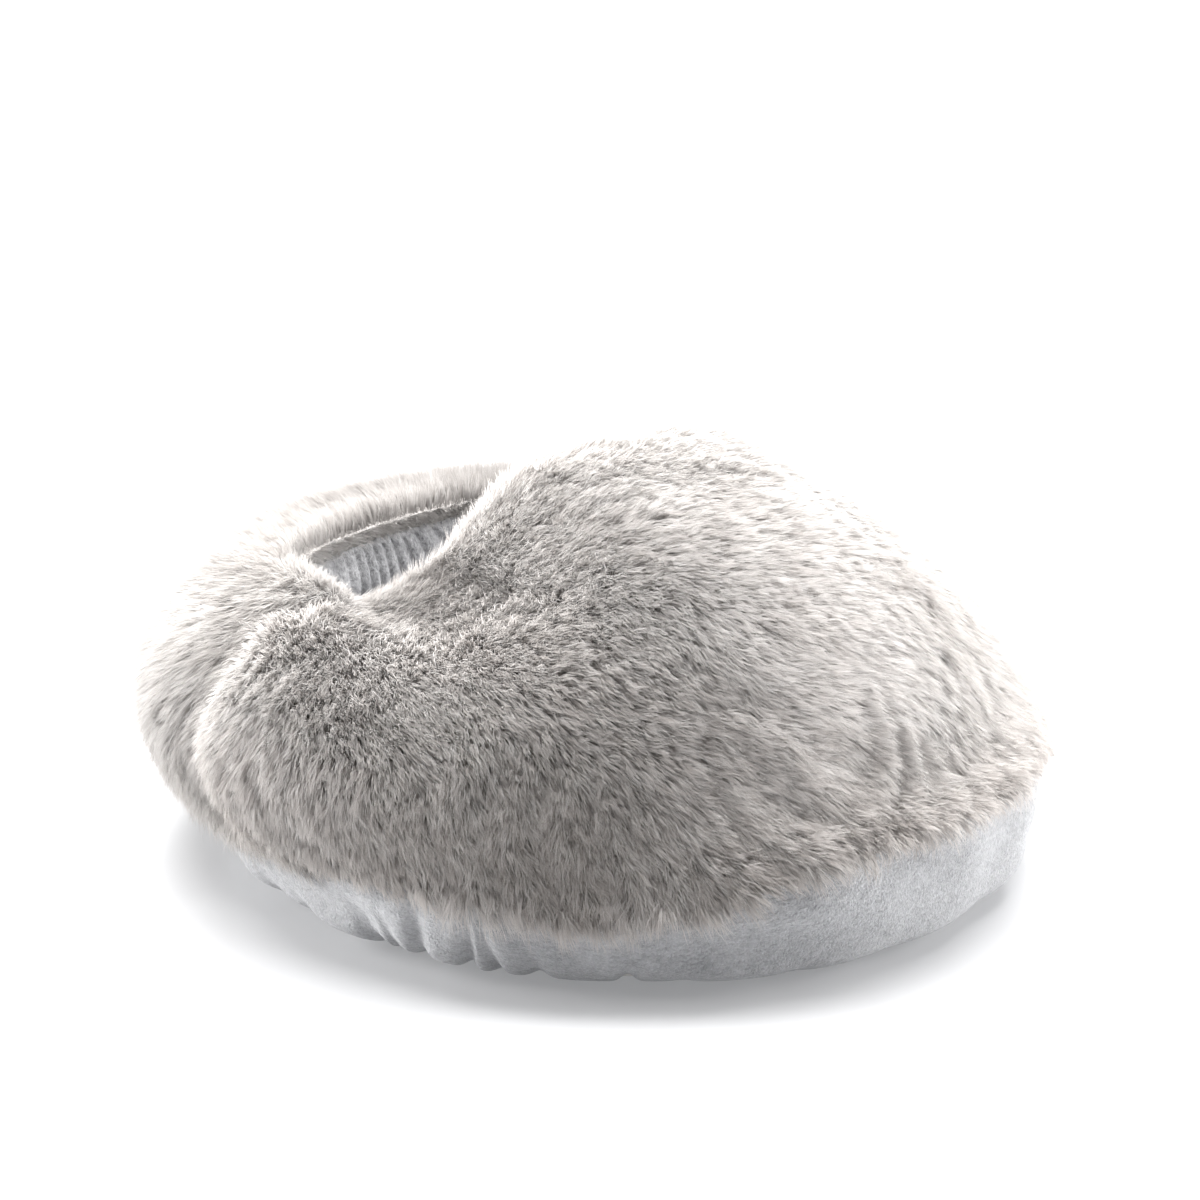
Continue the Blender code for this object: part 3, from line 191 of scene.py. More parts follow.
# The way that the strands face, and their tones from 0, dark, to 1, light. The rim is the collar's
# inner side and the slope is the hood's side under the mouth
RIM_POSITIONS, RIM_ANGLES, RIM_TURN = (2.8, 5.0), (-0.1, 0.5), 1.5
SLOPE_POSITIONS, SLOPE_TURN = (4.6, 6.6), 0.8
SLOPE_ANGLES_IN, SLOPE_ANGLES_OUT = (0.0, 0.3), (0.6, 0.95)
FACE_SHARE, NAP_SHARE = 0.45, 0.25
TONE, TONE_SPREADS, TONE_DRIFT, TONE_DRIFT_LENGTH = 0.64, (0.10, 0.05, 0.13), 0.08, 60 * MM
# Painted shade taken off the strands' tones: low on the wall where the pile hangs, at the lip, on
# the collar's inner rim, on the slope under the mouth and in a patch on the front left
HANG_PAINTED_SHADE, LIP_PAINTED_SHADE, RIM_PAINTED_SHADE, SLOPE_PAINTED_SHADE, FRONT_PATCH_PAINTED_SHADE = 0.28, 0.10, 0.25, 0.25, 0.22
# Where the patch of painted shade on the front left lies: its middle angle and width round the
# wall, its middle position and its height
FRONT_PATCH_ANGLE, FRONT_PATCH_WIDTH = math.radians(212), 0.55
FRONT_PATCH_POSITION, FRONT_PATCH_HEIGHT = 2.8, 2.0
TONE_LIMITS = (0.02, 0.98)
MAP_TONE_WIDTH, MAP_EDGE = 0.004, 0.02

# Inlet
INLET_FACE, INLET_HEIGHT = 161 * MM, 18 * MM
FLAT_HALF_LENGTH, FLAT_FADE = 18 * MM, 12 * MM
FLAT_LOW, FLAT_LOW_FULL, FLAT_HIGH_FULL, FLAT_HIGH = 3 * MM, 6 * MM, 27 * MM, 33 * MM
BARREL_HALF, PUNCH_LENGTH = (10.3 * MM, 6.3 * MM), 16 * MM

# The photograph
IMAGE_SIZE = 1200
BASE_PIXEL = (630, 833)
FOCAL_PIXELS = 3333.3
SENSOR = 36.0
CAMERA_AZIMUTH, CAMERA_ELEVATION = math.radians(-45), math.radians(22.5)
CAMERA_DISTANCE = 1.3605

# The studio. Columns of the banks: name, place, target, width, height, power
FLOOR_SIZE = 14
DAYLIGHT = (0.97, 0.98, 1.0, 1)
WORLD_STRENGTH = 0.05
SUN_STRENGTH, SUN_SPREAD, SUN_WAY = 11.8, math.radians(70), (-0.38, -0.38, -1.0)
BANKS = [
    ("back_bank", (2.0, 2.0, 0.9), (0, 0, 0.1), 5.0, 1.8, 14),
    ("right_bank", (2.1, -1.5, 0.6), (0, 0, 0.08), 1.6, 1.6, 125),
    ("left_bank", (-1.5, 2.1, 0.6), (0, 0, 0.08), 1.6, 1.6, 150)]


# Shape of the soft wall

def between(stops, share):
    low, middle, high = stops
    if share > 0:
        return middle + (high - middle) * share
    return middle + (middle - low) * share


def ring_keys(shares, low, middle, high, low_heights, middle_heights, high_heights):
    stops = [(low[part], middle[part], high[part]) for part in ("half_width", "toe", "heel")]
    stops += list(zip(low_heights, middle_heights, high_heights))
    return np.array([[between(stop, share) for stop, share in zip(stops, row)] for row in shares])


LINING_TOPS = tuple(height - SEAM_TUCK for height in MOUTH_HEIGHTS)
LINING_MOUTH = {part: reach - SEAM_STEP for part, reach in MOUTH.items()}
OUTSIDE_RINGS = ring_keys(OUTSIDE_SHARES, BASE, BODY, MOUTH,
                          SEAM_HEIGHTS, BODY_HEIGHTS, MOUTH_HEIGHTS)
POCKET_RINGS = ring_keys(POCKET_SHARES, FLOOR, POCKET, LINING_MOUTH,
                         (FLOOR_HEIGHT,) * 3, LINING_TOPS, LINING_TOPS)
BAND_RINGS = ring_keys(BAND_SHARES, SOLE, BASE, BASE,
                       (HEM_HEIGHT,) * 3, SEAM_HEIGHTS, SEAM_HEIGHTS)


def smooth_key(keys, position):
    """A ring's lengths at a position, on a smooth curve through the key rings."""
    last = len(keys) - 1
    index = np.clip(np.floor(position).astype(int), 0, last - 1)
    part = (position - index)[..., None]
    before, start = keys[np.clip(index - 1, 0, last)], keys[index]
    end, after = keys[index + 1], keys[np.clip(index + 2, 0, last)]
    bend = 2 * before - 5 * start + 4 * end - after
    twist = 3 * start - before - 3 * end + after
    return (2 * start + (end - before) * part + bend * part**2 + twist * part**3) / 2


def oval(key, angle):
    """A point of an oval ring, whose toe, side and heel may each have their own height."""
    half_width, toe, heel = key[..., 0], key[..., 1], key[..., 2]
    across, along = np.cos(angle), np.sin(angle)
    power = np.where(along > 0, HEEL_RISE_POWER, TOE_RISE_POWER)
    rise = 1 - (across * across) ** power
    end_height = np.where(along > 0, key[..., 5], key[..., 4])
    return np.stack([half_width * across,
                     BASE_Y + (heel - toe) / 2 + (heel + toe) / 2 * along,
                     key[..., 3] + (end_height - key[..., 3]) * rise], axis=-1)


def smooth_step(value, start, end):
    part = np.clip((value - start) / (end - start), 0, 1)
    return part * part * (3 - 2 * part)


def drift(points, wavelength, seed, waves=10):
    """A smooth random value over space, mostly between -1 and 1."""
    draw = np.random.default_rng(seed)
    ways = draw.normal(size=(waves, 3))
    ways /= np.linalg.norm(ways, axis=1, keepdims=True)
    ways /= wavelength * draw.uniform(0.7, 1.5, (waves, 1))
    turns = points @ ways.T + draw.uniform(0, 1, waves)
    return np.sin(2 * math.pi * turns).sum(axis=-1) * math.sqrt(1 / waves)


def crease_angle(position):
    """Where the hood and the collar meet, measured back from the side: the pile parts there."""
    turn = smooth_step(position, *CREASE_TURN)
    return CREASE_ANGLE + (CREASE_MOUTH_ANGLE - CREASE_ANGLE) * turn


def bump(offset, spread):
    return np.exp(-(offset / spread) ** 2)


def window(value, rise, fall):
    """A share that is full between a rise and a fall."""
    return smooth_step(value, *rise) * (1 - smooth_step(value, *fall))


def behind_side(angle):
    """How far an angle lies behind the nearer side of an oval; in front where negative."""
    return np.arctan2(np.sin(angle), np.abs(np.cos(angle)))


def spokes(points):
    """The level directions outwards from the ovals' middle, without heights."""
    spoke = points[..., :2] - np.array([0.0, BASE_Y])
    return spoke / np.linalg.norm(spoke, axis=-1, keepdims=True)


def dip(position, behind):
    """How far the lip of the mouth dips at its sides, where the hood starts to rise."""
    start, full, fade, end = DIP_ANGLES
    round_way = window(-behind, (start, full), (fade, end))
    return DIP_DEPTH * round_way * smooth_step(position / LAST_RING, *DIP_SHARES)


def wall(position, angle):
    """The outside point, the direction inward and the thickness of the soft wall there."""
    outside = oval(smooth_key(OUTSIDE_RINGS, position), angle)
    behind = behind_side(angle)
    past = behind - crease_angle(position)
    valley = VALLEY_DEPTH * (1 - VALLEY_LOSS * smooth_step(position, *VALLEY_LOSS_RANGE))
    crest = CREST_RISE * bump(past + CREST_ANGLE, CREST_SPREAD)
    groove = (valley * bump(past, VALLEY_SPREAD) - crest) * window(position, CREASE_IN, CREASE_OUT)
    turned = np.mod(angle, 2 * math.pi)
    lean = LOBE_LEAN * (LOBE_MIDDLE - position)
    lobe = bump(turned - LOBE_LEFT - lean, LOBE_SPREAD)
    lobe = lobe + bump(turned - LOBE_RIGHT + lean, LOBE_SPREAD)
    groove += LOBE_DEPTH * lobe * window(position, LOBE_IN, LOBE_OUT)
    outside[..., :2] -= spokes(outside) * groove[..., None]
    chord = oval(smooth_key(POCKET_RINGS, position), angle) - outside
    thickness = np.linalg.norm(chord, axis=-1)
    outside[..., 2] -= dip(position, behind)
    outside[..., 2] += RIM_RAISE * smooth_step(behind, *RIM_ROUND) * smooth_step(position, *RIM_UP)
    return outside, chord / thickness[..., None], thickness


def gathers(position, angle, outside):
    """How far the hide is drawn in by the gathers over the base seam."""
    way_round = angle * BODY["half_width"] / GATHER_PITCH
    wander = drift(outside * GATHER_WANDER_STRETCH, GATHER_WANDER_LENGTH, 11)
    fold = 0.5 - 0.5 * np.cos(2 * math.pi * (way_round + GATHER_WANDER * wander))
    strength = GATHER_STRENGTH + GATHER_VARIETY * drift(outside, GATHER_VARIETY_LENGTH, 12)
    return GATHER_DEPTH * fold * strength * window(position, GATHER_IN, GATHER_OUT)


def hide_depth(position, thickness):
    """How deep the backing lies: under the pile, and out to the lining's edge at the mouth."""
    lip = smooth_step(position, HIDE_LIP_START, LAST_RING)
    share = HIDE_LIP_SHARE + (HIDE_SEAM_SHARE - HIDE_LIP_SHARE) * lip
    return np.minimum(HIDE_DEPTH, share * thickness)


def hem_shift(angle):
    """How far below the seam the plush's hem hangs; above it where negative."""
    places, shifts = zip(*HEM_SHIFTS)
    return MM * np.interp(np.degrees(angle) % 360, places, shifts, period=360)


def hide_point(position, angle):
    """The outer face of the plush's backing cloth."""
    outside, inward, thickness = wall(position, angle)
    depth = hide_depth(position, thickness) + gathers(position, angle, outside)
    point = outside + inward * depth[..., None]
    inlet = bump(np.arctan2(np.sin(angle), np.cos(angle)), INLET_CLEAR_ANGLE)
    roll = (1 - smooth_step(position, 0.0, HEM_ROLL_END)) * (1 - inlet)
    point[..., :2] += spokes(outside) * (HEM_ROLL * roll)[..., None]
    shift = hem_shift(angle)
    spread = np.where(shift > 0, roll, 1 - smooth_step(position, 0.0, HEM_LIFT_END))
    point[..., 2] -= shift * spread
    return point


# Shaders

class Reading:
    """A shader socket that can be used in arithmetic."""

    def __init__(self, finish, socket):
        self.finish, self.socket = finish, socket

    def __add__(self, other):
        return self.finish.maths("ADD", self, other)

    def __sub__(self, other):
        return self.finish.maths("SUBTRACT", self, other)

    def __mul__(self, other):
        return self.finish.maths("MULTIPLY", self, other)

    def __pow__(self, other):
        return self.finish.maths("POWER", self, other)

    __radd__, __rmul__ = __add__, __mul__


class Finish:
    """A material, built from nodes round its Principled shader."""

    def __init__(self, name, **constants):
        self.material = bpy.data.materials.new(name)
        self.material.use_nodes = True
        self.tree = self.material.node_tree
        self.shader = self.tree.nodes["Principled BSDF"]
        for socket, value in constants.items():
            self.shader.inputs[socket.replace("_", " ")].default_value = value

    def node(self, kind, settings, inputs, output=0):
        """Adds a node, sets its settings, then its sockets' values or links."""
        made = self.tree.nodes.new("ShaderNode" + kind)
        for name, value in settings.items():
            setattr(made, name, value)
        for name, value in inputs.items():
            self.feed(made.inputs[name], value)
        return Reading(self, made.outputs[output])

    def feed(self, socket, value):
        if isinstance(value, Reading):
            self.tree.links.new(value.socket, socket)
        else:
            socket.default_value = value

    def maths(self, operation, first, second):
        return self.node("Math", {"operation": operation}, {0: first, 1: second})

    def place(self):
        return self.node("TexCoord", {}, {}, "Object")

    def map_place(self):
        return self.node("TexCoord", {}, {}, "UV")

    def noise(self, where, scale, detail=3.0, roughness=0.5):
        return self.node("TexNoise", {}, {"Vector": where, "Scale": scale, "Detail": detail,
                                          "Roughness": roughness})

    def stretched(self, where, scale):
        return self.node("Mapping", {}, {"Vector": where, "Scale": scale})

    def ramp(self, value, stops):
        made = self.node("ValToRGB", {}, {"Fac": value})
        elements = made.socket.node.color_ramp.elements
        for place, _ in stops[2:]:
            elements.new(place)
        for element, (place, colour) in zip(elements, stops):
            element.position, element.color = place, (*colour, 1)
        return made

    def mix(self, share, first, second):
        return self.node("Mix", {"data_type": "RGBA"}, {0: share, 6: first, 7: second}, 2)

    def colour(self, value):
        self.feed(self.shader.inputs["Base Color"], value)

    def roughness(self, value):
        self.feed(self.shader.inputs["Roughness"], value)

    def relief(self, height, distance, strength=1.0):
        made = self.node("Bump", {}, {"Height": height, "Distance": distance,
                                      "Strength": strength})
        self.feed(self.shader.inputs["Normal"], made)


def shaded(colour, factor):
    return tuple(channel * factor for channel in colour)


FUR_DARK, FUR_MIDDLE, FUR_LIGHT = (0.62, 0.575, 0.545), (0.83, 0.795, 0.77), (0.95, 0.93, 0.91)
# The collar's plush is the hood's plush, its colours darkened by about a seventh as painted shade
# against the stronger light on the collar's rim
COLLAR_PAINTED_SHADE_DARK, COLLAR_PAINTED_SHADE_MIDDLE = (0.55, 0.515, 0.49), (0.71, 0.68, 0.66)
COLLAR_PAINTED_SHADE_LIGHT = (0.83, 0.81, 0.79)
FLEECE_DARK, FLEECE_LIGHT = (0.27, 0.27, 0.28), (0.58, 0.58, 0.592)
VELVET_DARK, VELVET_LIGHT = (0.30, 0.303, 0.317), (0.62, 0.623, 0.64)
# The pile's roots are darkened as painted shade, the shade deep in the pile between the strands
PILE_ROOT_PAINTED_SHADES, PILE_PAINTED_SHADE_POWER, PILE_GLOW = (0.42, 0.54), 0.5, 0.45

# Columns: name, dark and light colour, scale of the texture, its relief, nodes
FIBRES = [
    ("wadding", (0.72, 0.72, 0.70), (0.90, 0.90, 0.88), 260.0, 1.5 * MM,
     ("hood_wadding", "collar_wadding")),
    ("felt", (0.62, 0.60, 0.56), (0.84, 0.82, 0.77), 700.0, 0.4 * MM,
     ("heater_cover_top", "heater_cover_bottom")),
    ("foam", (0.55, 0.50, 0.32), (0.80, 0.75, 0.56), 900.0, 0.8 * MM, ("foam_base",))]

# Columns: name, colour, roughness, node or nodes
MOULDED = [
    ("silicone_sleeve", (0.45, 0.05, 0.03), 0.5, "heating_wire"),
    ("phenolic", (0.02, 0.02, 0.022), 0.35, "thermostat"),
    ("ceramic", (0.72, 0.70, 0.64), 0.2, "thermal_fuse"),
    ("brown_insulation", (0.12, 0.045, 0.02), 0.4, "lead_live"),
    ("blue_insulation", (0.02, 0.06, 0.28), 0.4, "lead_neutral"),
    ("black_plastic", (0.018, 0.018, 0.02), 0.4, "inlet_housing"),
    ("grey_plastic", (0.10, 0.10, 0.105), 0.5, "inlet_clamp_plate")]
METALS = [
    ("brass", (0.85, 0.66, 0.32), 0.18, ("inlet_pin_live", "inlet_pin_neutral")),
    ("steel", (0.68, 0.68, 0.70), 0.22, ("clamp_rivet_front", "clamp_rivet_rear"))]


def pile_finish(name, dark, middle, light):
    """Plush pile: the map's first value is a strand's own tone, the second runs up the strand."""
    low, high = PILE_ROOT_PAINTED_SHADES
    finish = Finish(name, Roughness=0.75, Sheen_Weight=0.25, Sheen_Roughness=0.5)
    parts = finish.node("SeparateXYZ", {}, {"Vector": finish.map_place()})
    tone = Reading(finish, parts.socket.node.outputs["X"])
    up = Reading(finish, parts.socket.node.outputs["Y"])
    own = finish.ramp(tone, [(0.0, dark), (1.0, light), (0.5, middle)])
    # Painted shade: the root colour is the strand's own colour darkened, and it fades out towards
    # the tip
    root = finish.ramp(tone, [(0.0, shaded(dark, low)), (1.0, shaded(middle, high))])
    fibre = finish.mix(up ** PILE_PAINTED_SHADE_POWER, root, own)
    finish.colour(fibre)
    glow = finish.node("BsdfTranslucent", {}, {"Color": fibre})
    both = finish.node("MixShader", {}, {"Fac": PILE_GLOW, 2: glow,
                                         1: Reading(finish, finish.shader.outputs[0])})
    finish.feed(finish.tree.nodes["Material Output"].inputs["Surface"], both)
    return finish.material


def hide_finish():
    finish = Finish("plush_backing", Roughness=0.95)
    weave = finish.noise(finish.place(), scale=900.0, detail=2.0)
    finish.colour(finish.ramp(weave, [(0.3, shaded(FUR_DARK, 0.6)),
                                      (0.7, shaded(FUR_MIDDLE, 0.8))]))
    finish.relief(weave, distance=0.4 * MM)
    return finish.material


def fleece_finish(name, dark, light):
    """Coral fleece: short curled tufts that lie in small combed streaks."""
    finish = Finish(name, Roughness=0.9, Sheen_Weight=0.35, Sheen_Roughness=0.4)
    where = finish.place()
    tufts = finish.noise(where, scale=520.0, detail=3.0, roughness=0.6)
    patches = finish.noise(where, scale=70.0, detail=2.0)
    finish.colour(finish.ramp(tufts * 0.65 + patches * 0.35, [(0.34, dark), (0.66, light)]))
    finish.relief(tufts, distance=1.6 * MM, strength=0.9)
    return finish.material


def velvet_finish(name, dark, light):
    """Short velvet pile, laid by brushing into soft streaks and patches of shade."""
    finish = Finish(name, Roughness=0.8, Sheen_Weight=0.5, Sheen_Roughness=0.35)
    where = finish.place()
    pile = finish.noise(where, scale=1100.0, detail=3.0, roughness=0.6)
    streaks = finish.noise(finish.stretched(where, scale=(260.0, 260.0, 560.0)),
                           scale=1.0, detail=4.0, roughness=0.65)
    patches = finish.noise(where, scale=28.0, detail=2.0)
    tone = pile * 0.35 + streaks * 0.35 + patches * 0.3
    finish.colour(finish.ramp(tone, [(0.36, dark), (0.64, light)]))
    finish.relief(pile * 0.4 + streaks * 0.6, distance=3 * MM)
    return finish.material


def fibre_finish(name, dark, light, scale, relief):
    """A matt fibrous or cellular stuff, mottled and bumped at one scale."""
    finish = Finish(name, Roughness=0.95)
    where = finish.place()
    fine = finish.noise(where, scale, detail=4.0, roughness=0.6)
    broad = finish.noise(where, scale=scale / 12, detail=2.0)
    finish.colour(finish.ramp(fine * 0.6 + broad * 0.4, [(0.35, dark), (0.65, light)]))
    finish.relief(fine, relief)
    return finish.material


def moulded_finish(name, colour, roughness):
    """Moulded plastic with a fine spark texture and faint rubbed wear."""
    finish = Finish(name)
    where = finish.place()
    grain = finish.noise(where, scale=2600.0, detail=2.0)
    wear = finish.noise(where, scale=60.0, detail=3.0)
    finish.colour(finish.ramp(wear, [(0.3, shaded(colour, 0.85)), (0.75, shaded(colour, 1.25))]))
    finish.roughness(roughness + 0.18 * wear - 0.05 * grain)
    finish.relief(grain, distance=0.05 * MM, strength=0.5)
    return finish.material


def metal_finish(name, colour, roughness):
    """Drawn or plated metal, dulled in patches and finely scratched along its turning."""
    finish = Finish(name, Metallic=1.0)
    where = finish.place()
    dull = finish.noise(where, scale=180.0, detail=4.0)
    lines = finish.noise(finish.stretched(where, scale=(4000.0, 300.0, 300.0)),
                         scale=1.0, detail=2.0)
    finish.colour(finish.ramp(dull, [(0.3, shaded(colour, 0.8)), (0.7, colour)]))
    finish.roughness(roughness + 0.25 * dull + 0.1 * lines)
    finish.relief(lines, distance=0.02 * MM, strength=0.4)
    return finish.material


def foil_finish():
    """Thin aluminium foil with crinkles, and painted shade in their creases."""
    finish = Finish("foil", Metallic=1.0)
    where = finish.place()
    crinkle_and_painted_crease_shade = finish.node("TexVoronoi", {"feature": "DISTANCE_TO_EDGE"},
                          {"Vector": where, "Scale": 110.0})
    # Painted shade: the foil is darker along the crinkles' creases
    finish.colour(finish.ramp(crinkle_and_painted_crease_shade, [(0.0, (0.6, 0.6, 0.61)), (0.3, (0.85, 0.85, 0.86))]))
    finish.roughness(0.2 + 0.3 * finish.noise(where, scale=300.0))
    finish.relief(crinkle_and_painted_crease_shade, distance=0.5 * MM, strength=0.6)
    return finish.material


def woven_finish(name, dark, light, pitch):
    """A plain weave of threads that cross at a pitch."""
    finish = Finish(name, Roughness=0.85)
    where = finish.place()
    threads = [finish.node("TexWave", {"bands_direction": way, "wave_profile": "SIN"},
                           {"Vector": where, "Scale": 0.5 / pitch / 10, "Distortion": 0.6,
                            "Detail": 1.0, "Detail Scale": 4.0}, 1) for way in ("X", "Y")]
    cloth = threads[0] * 0.5 + threads[1] * 0.5
    soil = finish.noise(where, scale=35.0, detail=3.0)
    finish.colour(finish.ramp(cloth * 0.6 + soil * 0.4, [(0.3, dark), (0.7, light)]))
    finish.relief(cloth, distance=0.25 * MM, strength=0.8)
    return finish.material


# Modelling

def deselect():
    bpy.ops.object.select_all(action="DESELECT")


def link(thing):
    bpy.context.scene.collection.objects.link(thing)


def finish_piece(piece, name, material):
    piece.name = name
    piece.data.name = name
    piece.data.materials.clear()
    piece.data.materials.append(material)
    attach(piece, "root")
    return piece


def apply_all(piece):
    bpy.context.view_layer.objects.active = piece
    for modifier in list(piece.modifiers):
        bpy.ops.object.modifier_apply(modifier=modifier.name)


def vertex_places(piece):
    flat = np.empty(len(piece.data.vertices) * 3, np.float32)
    piece.data.vertices.foreach_get("co", flat)
    return flat.reshape(-1, 3).astype(float)


def lay(piece, places):
    piece.data.vertices.foreach_set("co", places.astype(np.float32).ravel())
    piece.data.update()


def cloth(grid, place, thickness, sewn_round=False):
    """A sheet cut as a grid, laid by place(across, up), and given its thickness behind."""
    columns, rows = grid
    deselect()
    bpy.ops.mesh.primitive_grid_add(x_subdivisions=columns, y_subdivisions=rows, size=1)
    sheet = bpy.context.object
    flat = vertex_places(sheet) + 0.5
    lay(sheet, place(flat[:, 0], flat[:, 1]))
    if sewn_round:
        bpy.ops.object.mode_set(mode="EDIT")
        bpy.ops.mesh.select_all(action="SELECT")
        bpy.ops.mesh.remove_doubles(threshold=DOUBLES_DISTANCE)
        bpy.ops.object.mode_set(mode="OBJECT")
    thick = sheet.modifiers.new("thickness", "SOLIDIFY")
    thick.thickness, thick.offset = thickness, -1
    apply_all(sheet)
    bpy.ops.object.shade_smooth()
    return sheet


def disc_places(across, up):
    """Carries a square's points, from -1 to 1, onto a round disc."""
    x, y = 2 * across - 1, 2 * up - 1
    return x * np.sqrt(1 - y * y / 2), y * np.sqrt(1 - x * x / 2)


def add_hide(name, node, start, end, columns, material):
    """The backing of one plush panel, from one crease to the other."""
    def place(across, up):
        position = up * LAST_RING
        angle = start(position) + (end(position) - start(position)) * across
        return hide_point(position, angle)
    hide = cloth((columns, HIDE_ROWS), place, HIDE_THICKNESS)
    finish_piece(hide, name, material)
    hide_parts(node)
    return hide


def pleat_fold(way_round, drop):
    """The lining's folds: round ridges between sharp creases, which lean and merge below."""
    lean = -PLEAT_LEAN * np.cos(2 * math.pi * way_round + PLEAT_LEAN_START)
    sway = PLEAT_SWAY * np.sin(PLEAT_SWAYS * 2 * math.pi * way_round)
    turns = way_round * PLEATS + sway + lean * drop
    narrow = np.abs(np.sin(math.pi * turns)) ** PLEAT_ROUNDNESS
    wide = np.abs(np.sin(math.pi * turns / 2)) ** PLEAT_ROUNDNESS
    share = smooth_step(drop, *PLEAT_MERGE)
    return narrow * (1 - share) + wide * share


def add_lining(material):
    """The pocket's wall, gathered into pleats by the tape round the mouth."""
    def place(across, up):
        position = up * LAST_RING
        angle = -2 * math.pi * across
        outside, inward, thickness = wall(position, angle)
        pleat = PLEAT_DEPTH * pleat_fold(across, 1 - up)
        pleat = pleat * smooth_step(position, *PLEAT_IN)
        pleat = pleat * (1 - PLEAT_LIP_LOSS * smooth_step(position, *PLEAT_LIP))
        loose = LINING_ROOM + LINING_SWAY * drift(outside, LINING_SWAY_LENGTH, 21)
        loose = loose * window(position, LINING_IN, LINING_OUT)
        return outside + inward * (thickness + pleat + loose)[..., None]
    lining = cloth(LINING_GRID, place, LINING_THICKNESS, sewn_round=True)
    finish_piece(lining, "gathered_lining", material)
    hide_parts("pocket_lining")


def add_footbed(material):
    """The fleece footbed, crowned and rolled down at its rim."""
    low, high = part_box("footbed_lining")
    middle, half = (low + high) / 2, (high - low) / 2

    def place(across, up):
        x, y = disc_places(across, up)
        reach = np.hypot(x, y)
        flat = np.stack([middle.x + half.x * FOOTBED_SHARE * x,
                         middle.y + half.y * FOOTBED_SHARE * y,
                         np.full_like(x, high.z)], axis=-1)
        sway = FOOTBED_SWAY * drift(flat, FOOTBED_SWAY_LENGTH, 31)
        flat[:, 2] += FOOTBED_CROWN * (1 - reach**6) + sway * (1 - reach**4)
        return flat
    footbed = cloth(FOOTBED_GRID, place, half.z * 2)
    finish_piece(footbed, "footbed_pad", material)
    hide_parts("footbed_lining")


def loose_folds():
    """The folds of the band's far side and toe, spaced by chance, with the same columns."""
    draw = np.random.default_rng(44)
    folds = []
    for index in range(LOOSE_FOLDS):
        place = LOOSE_START + LOOSE_SPAN * (index + draw.uniform(0.2, 0.8)) / LOOSE_FOLDS
        share = 1.0 if place > LOOSE_FULL_FROM else LOOSE_TOE_SHARE
        depth = LOOSE_FOLD_DEPTH * draw.uniform(0.3, 1.0) * share
        seam = (place + draw.uniform(-5, 5)) % 360
        folds.append((place % 360, seam, draw.uniform(1.2, 3.0), depth, draw.uniform(0.5, 1.0)))
    return folds


def fold_depth(position, angle):
    """How far the band's gathers draw it in."""
    height = position / (len(BAND_RINGS) - 1)
    depth = np.zeros_like(angle)
    for hem, seam, width, deep, reach in BAND_FOLDS + loose_folds():
        lean = (seam - hem + 180) % 360 - 180
        offset = (np.degrees(angle) - hem - lean * height + 180) % 360 - 180
        fade = 1 - smooth_step(height, reach - FOLD_FADE_BELOW, reach + FOLD_FADE_ABOVE)
        depth = np.maximum(depth, deep * MM * bump(offset, width) * fade)
    return depth


def band_point(position, angle):
    """The outer face of the velvet band, drawn into gathers by its hem and flat at the inlet."""
    ring = oval(smooth_key(BAND_RINGS, position), angle)
    beside = np.abs(ring[:, 1] - BASE_Y)
    patch = 1 - smooth_step(beside, FLAT_HALF_LENGTH, FLAT_HALF_LENGTH + FLAT_FADE)
    patch = patch * smooth_step(ring[:, 2], FLAT_LOW, FLAT_LOW_FULL) * (ring[:, 0] > 0)
    patch = patch * (1 - smooth_step(ring[:, 2], FLAT_HIGH_FULL, FLAT_HIGH))
    fold = fold_depth(position, angle)
    sway = BAND_SWAY * drift(ring * SWAY_STRETCH, SWAY_LENGTH, 43)
    sway = sway * window(position, SWAY_IN, SWAY_OUT)
    inset = fold - BAND_PUFF * window(position, PUFF_IN, PUFF_OUT) + sway
    ring[:, :2] -= spokes(ring) * (inset * (1 - patch))[:, None]
    hem = window(position, HEM_LIFT_IN, HEM_LIFT_OUT)
    ring[:, 2] += HEM_LIFT_SHARE * fold * hem * (1 - patch)
    ring[:, 2] += np.maximum(-hem_shift(angle), 0) * smooth_step(position, *BAND_FOLLOWS_HEM)
    ring[:, 0] += (INLET_FACE - ring[:, 0]) * patch
    return ring


def add_band(material):
    """The velvet side, with the inlet's hole cut through it."""
    def place(across, up):
        return band_point(up * (len(BAND_RINGS) - 1), 2 * math.pi * across)
    band = cloth(BAND_GRID, place, BAND_THICKNESS, sewn_round=True)
    deselect()
    bpy.ops.mesh.primitive_cube_add(size=1, location=(INLET_FACE, BASE_Y, INLET_HEIGHT),
                                    scale=(PUNCH_LENGTH, BARREL_HALF[0] * 2, BARREL_HALF[1] * 2))
    punch = bpy.context.object
    hole = band.modifiers.new("inlet", "BOOLEAN")
    hole.operation, hole.solver, hole.object = "DIFFERENCE", "EXACT", punch
    apply_all(band)
    bpy.data.objects.remove(punch, do_unlink=True)
    finish_piece(band, "velvet_band", material)
    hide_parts("base_band")


def add_sole(material, rubber):
    """The sole's dark cloth, drawn tight under the foam, on its grip dots."""
    low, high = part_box("sole_cloth")
    middle, half = (low + high) / 2, (high - low) / 2
    level = DOT_HEIGHT + SOLE_THICKNESS

    def place(across, up):
        x, y = disc_places(across, up)
        rim = 1 - smooth_step(1 - np.hypot(x, y), 0, SOLE_RIM)
        return np.stack([middle.x + half.x * x, middle.y + half.y * y,
                         level + (high.z - level) * rim], axis=-1)
    sole = cloth(SOLE_GRID, place, SOLE_THICKNESS)
    finish_piece(sole, "sole_sheet", material)
    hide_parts("sole_cloth")
    dots = add_grip_dots(middle, half, level, rubber)


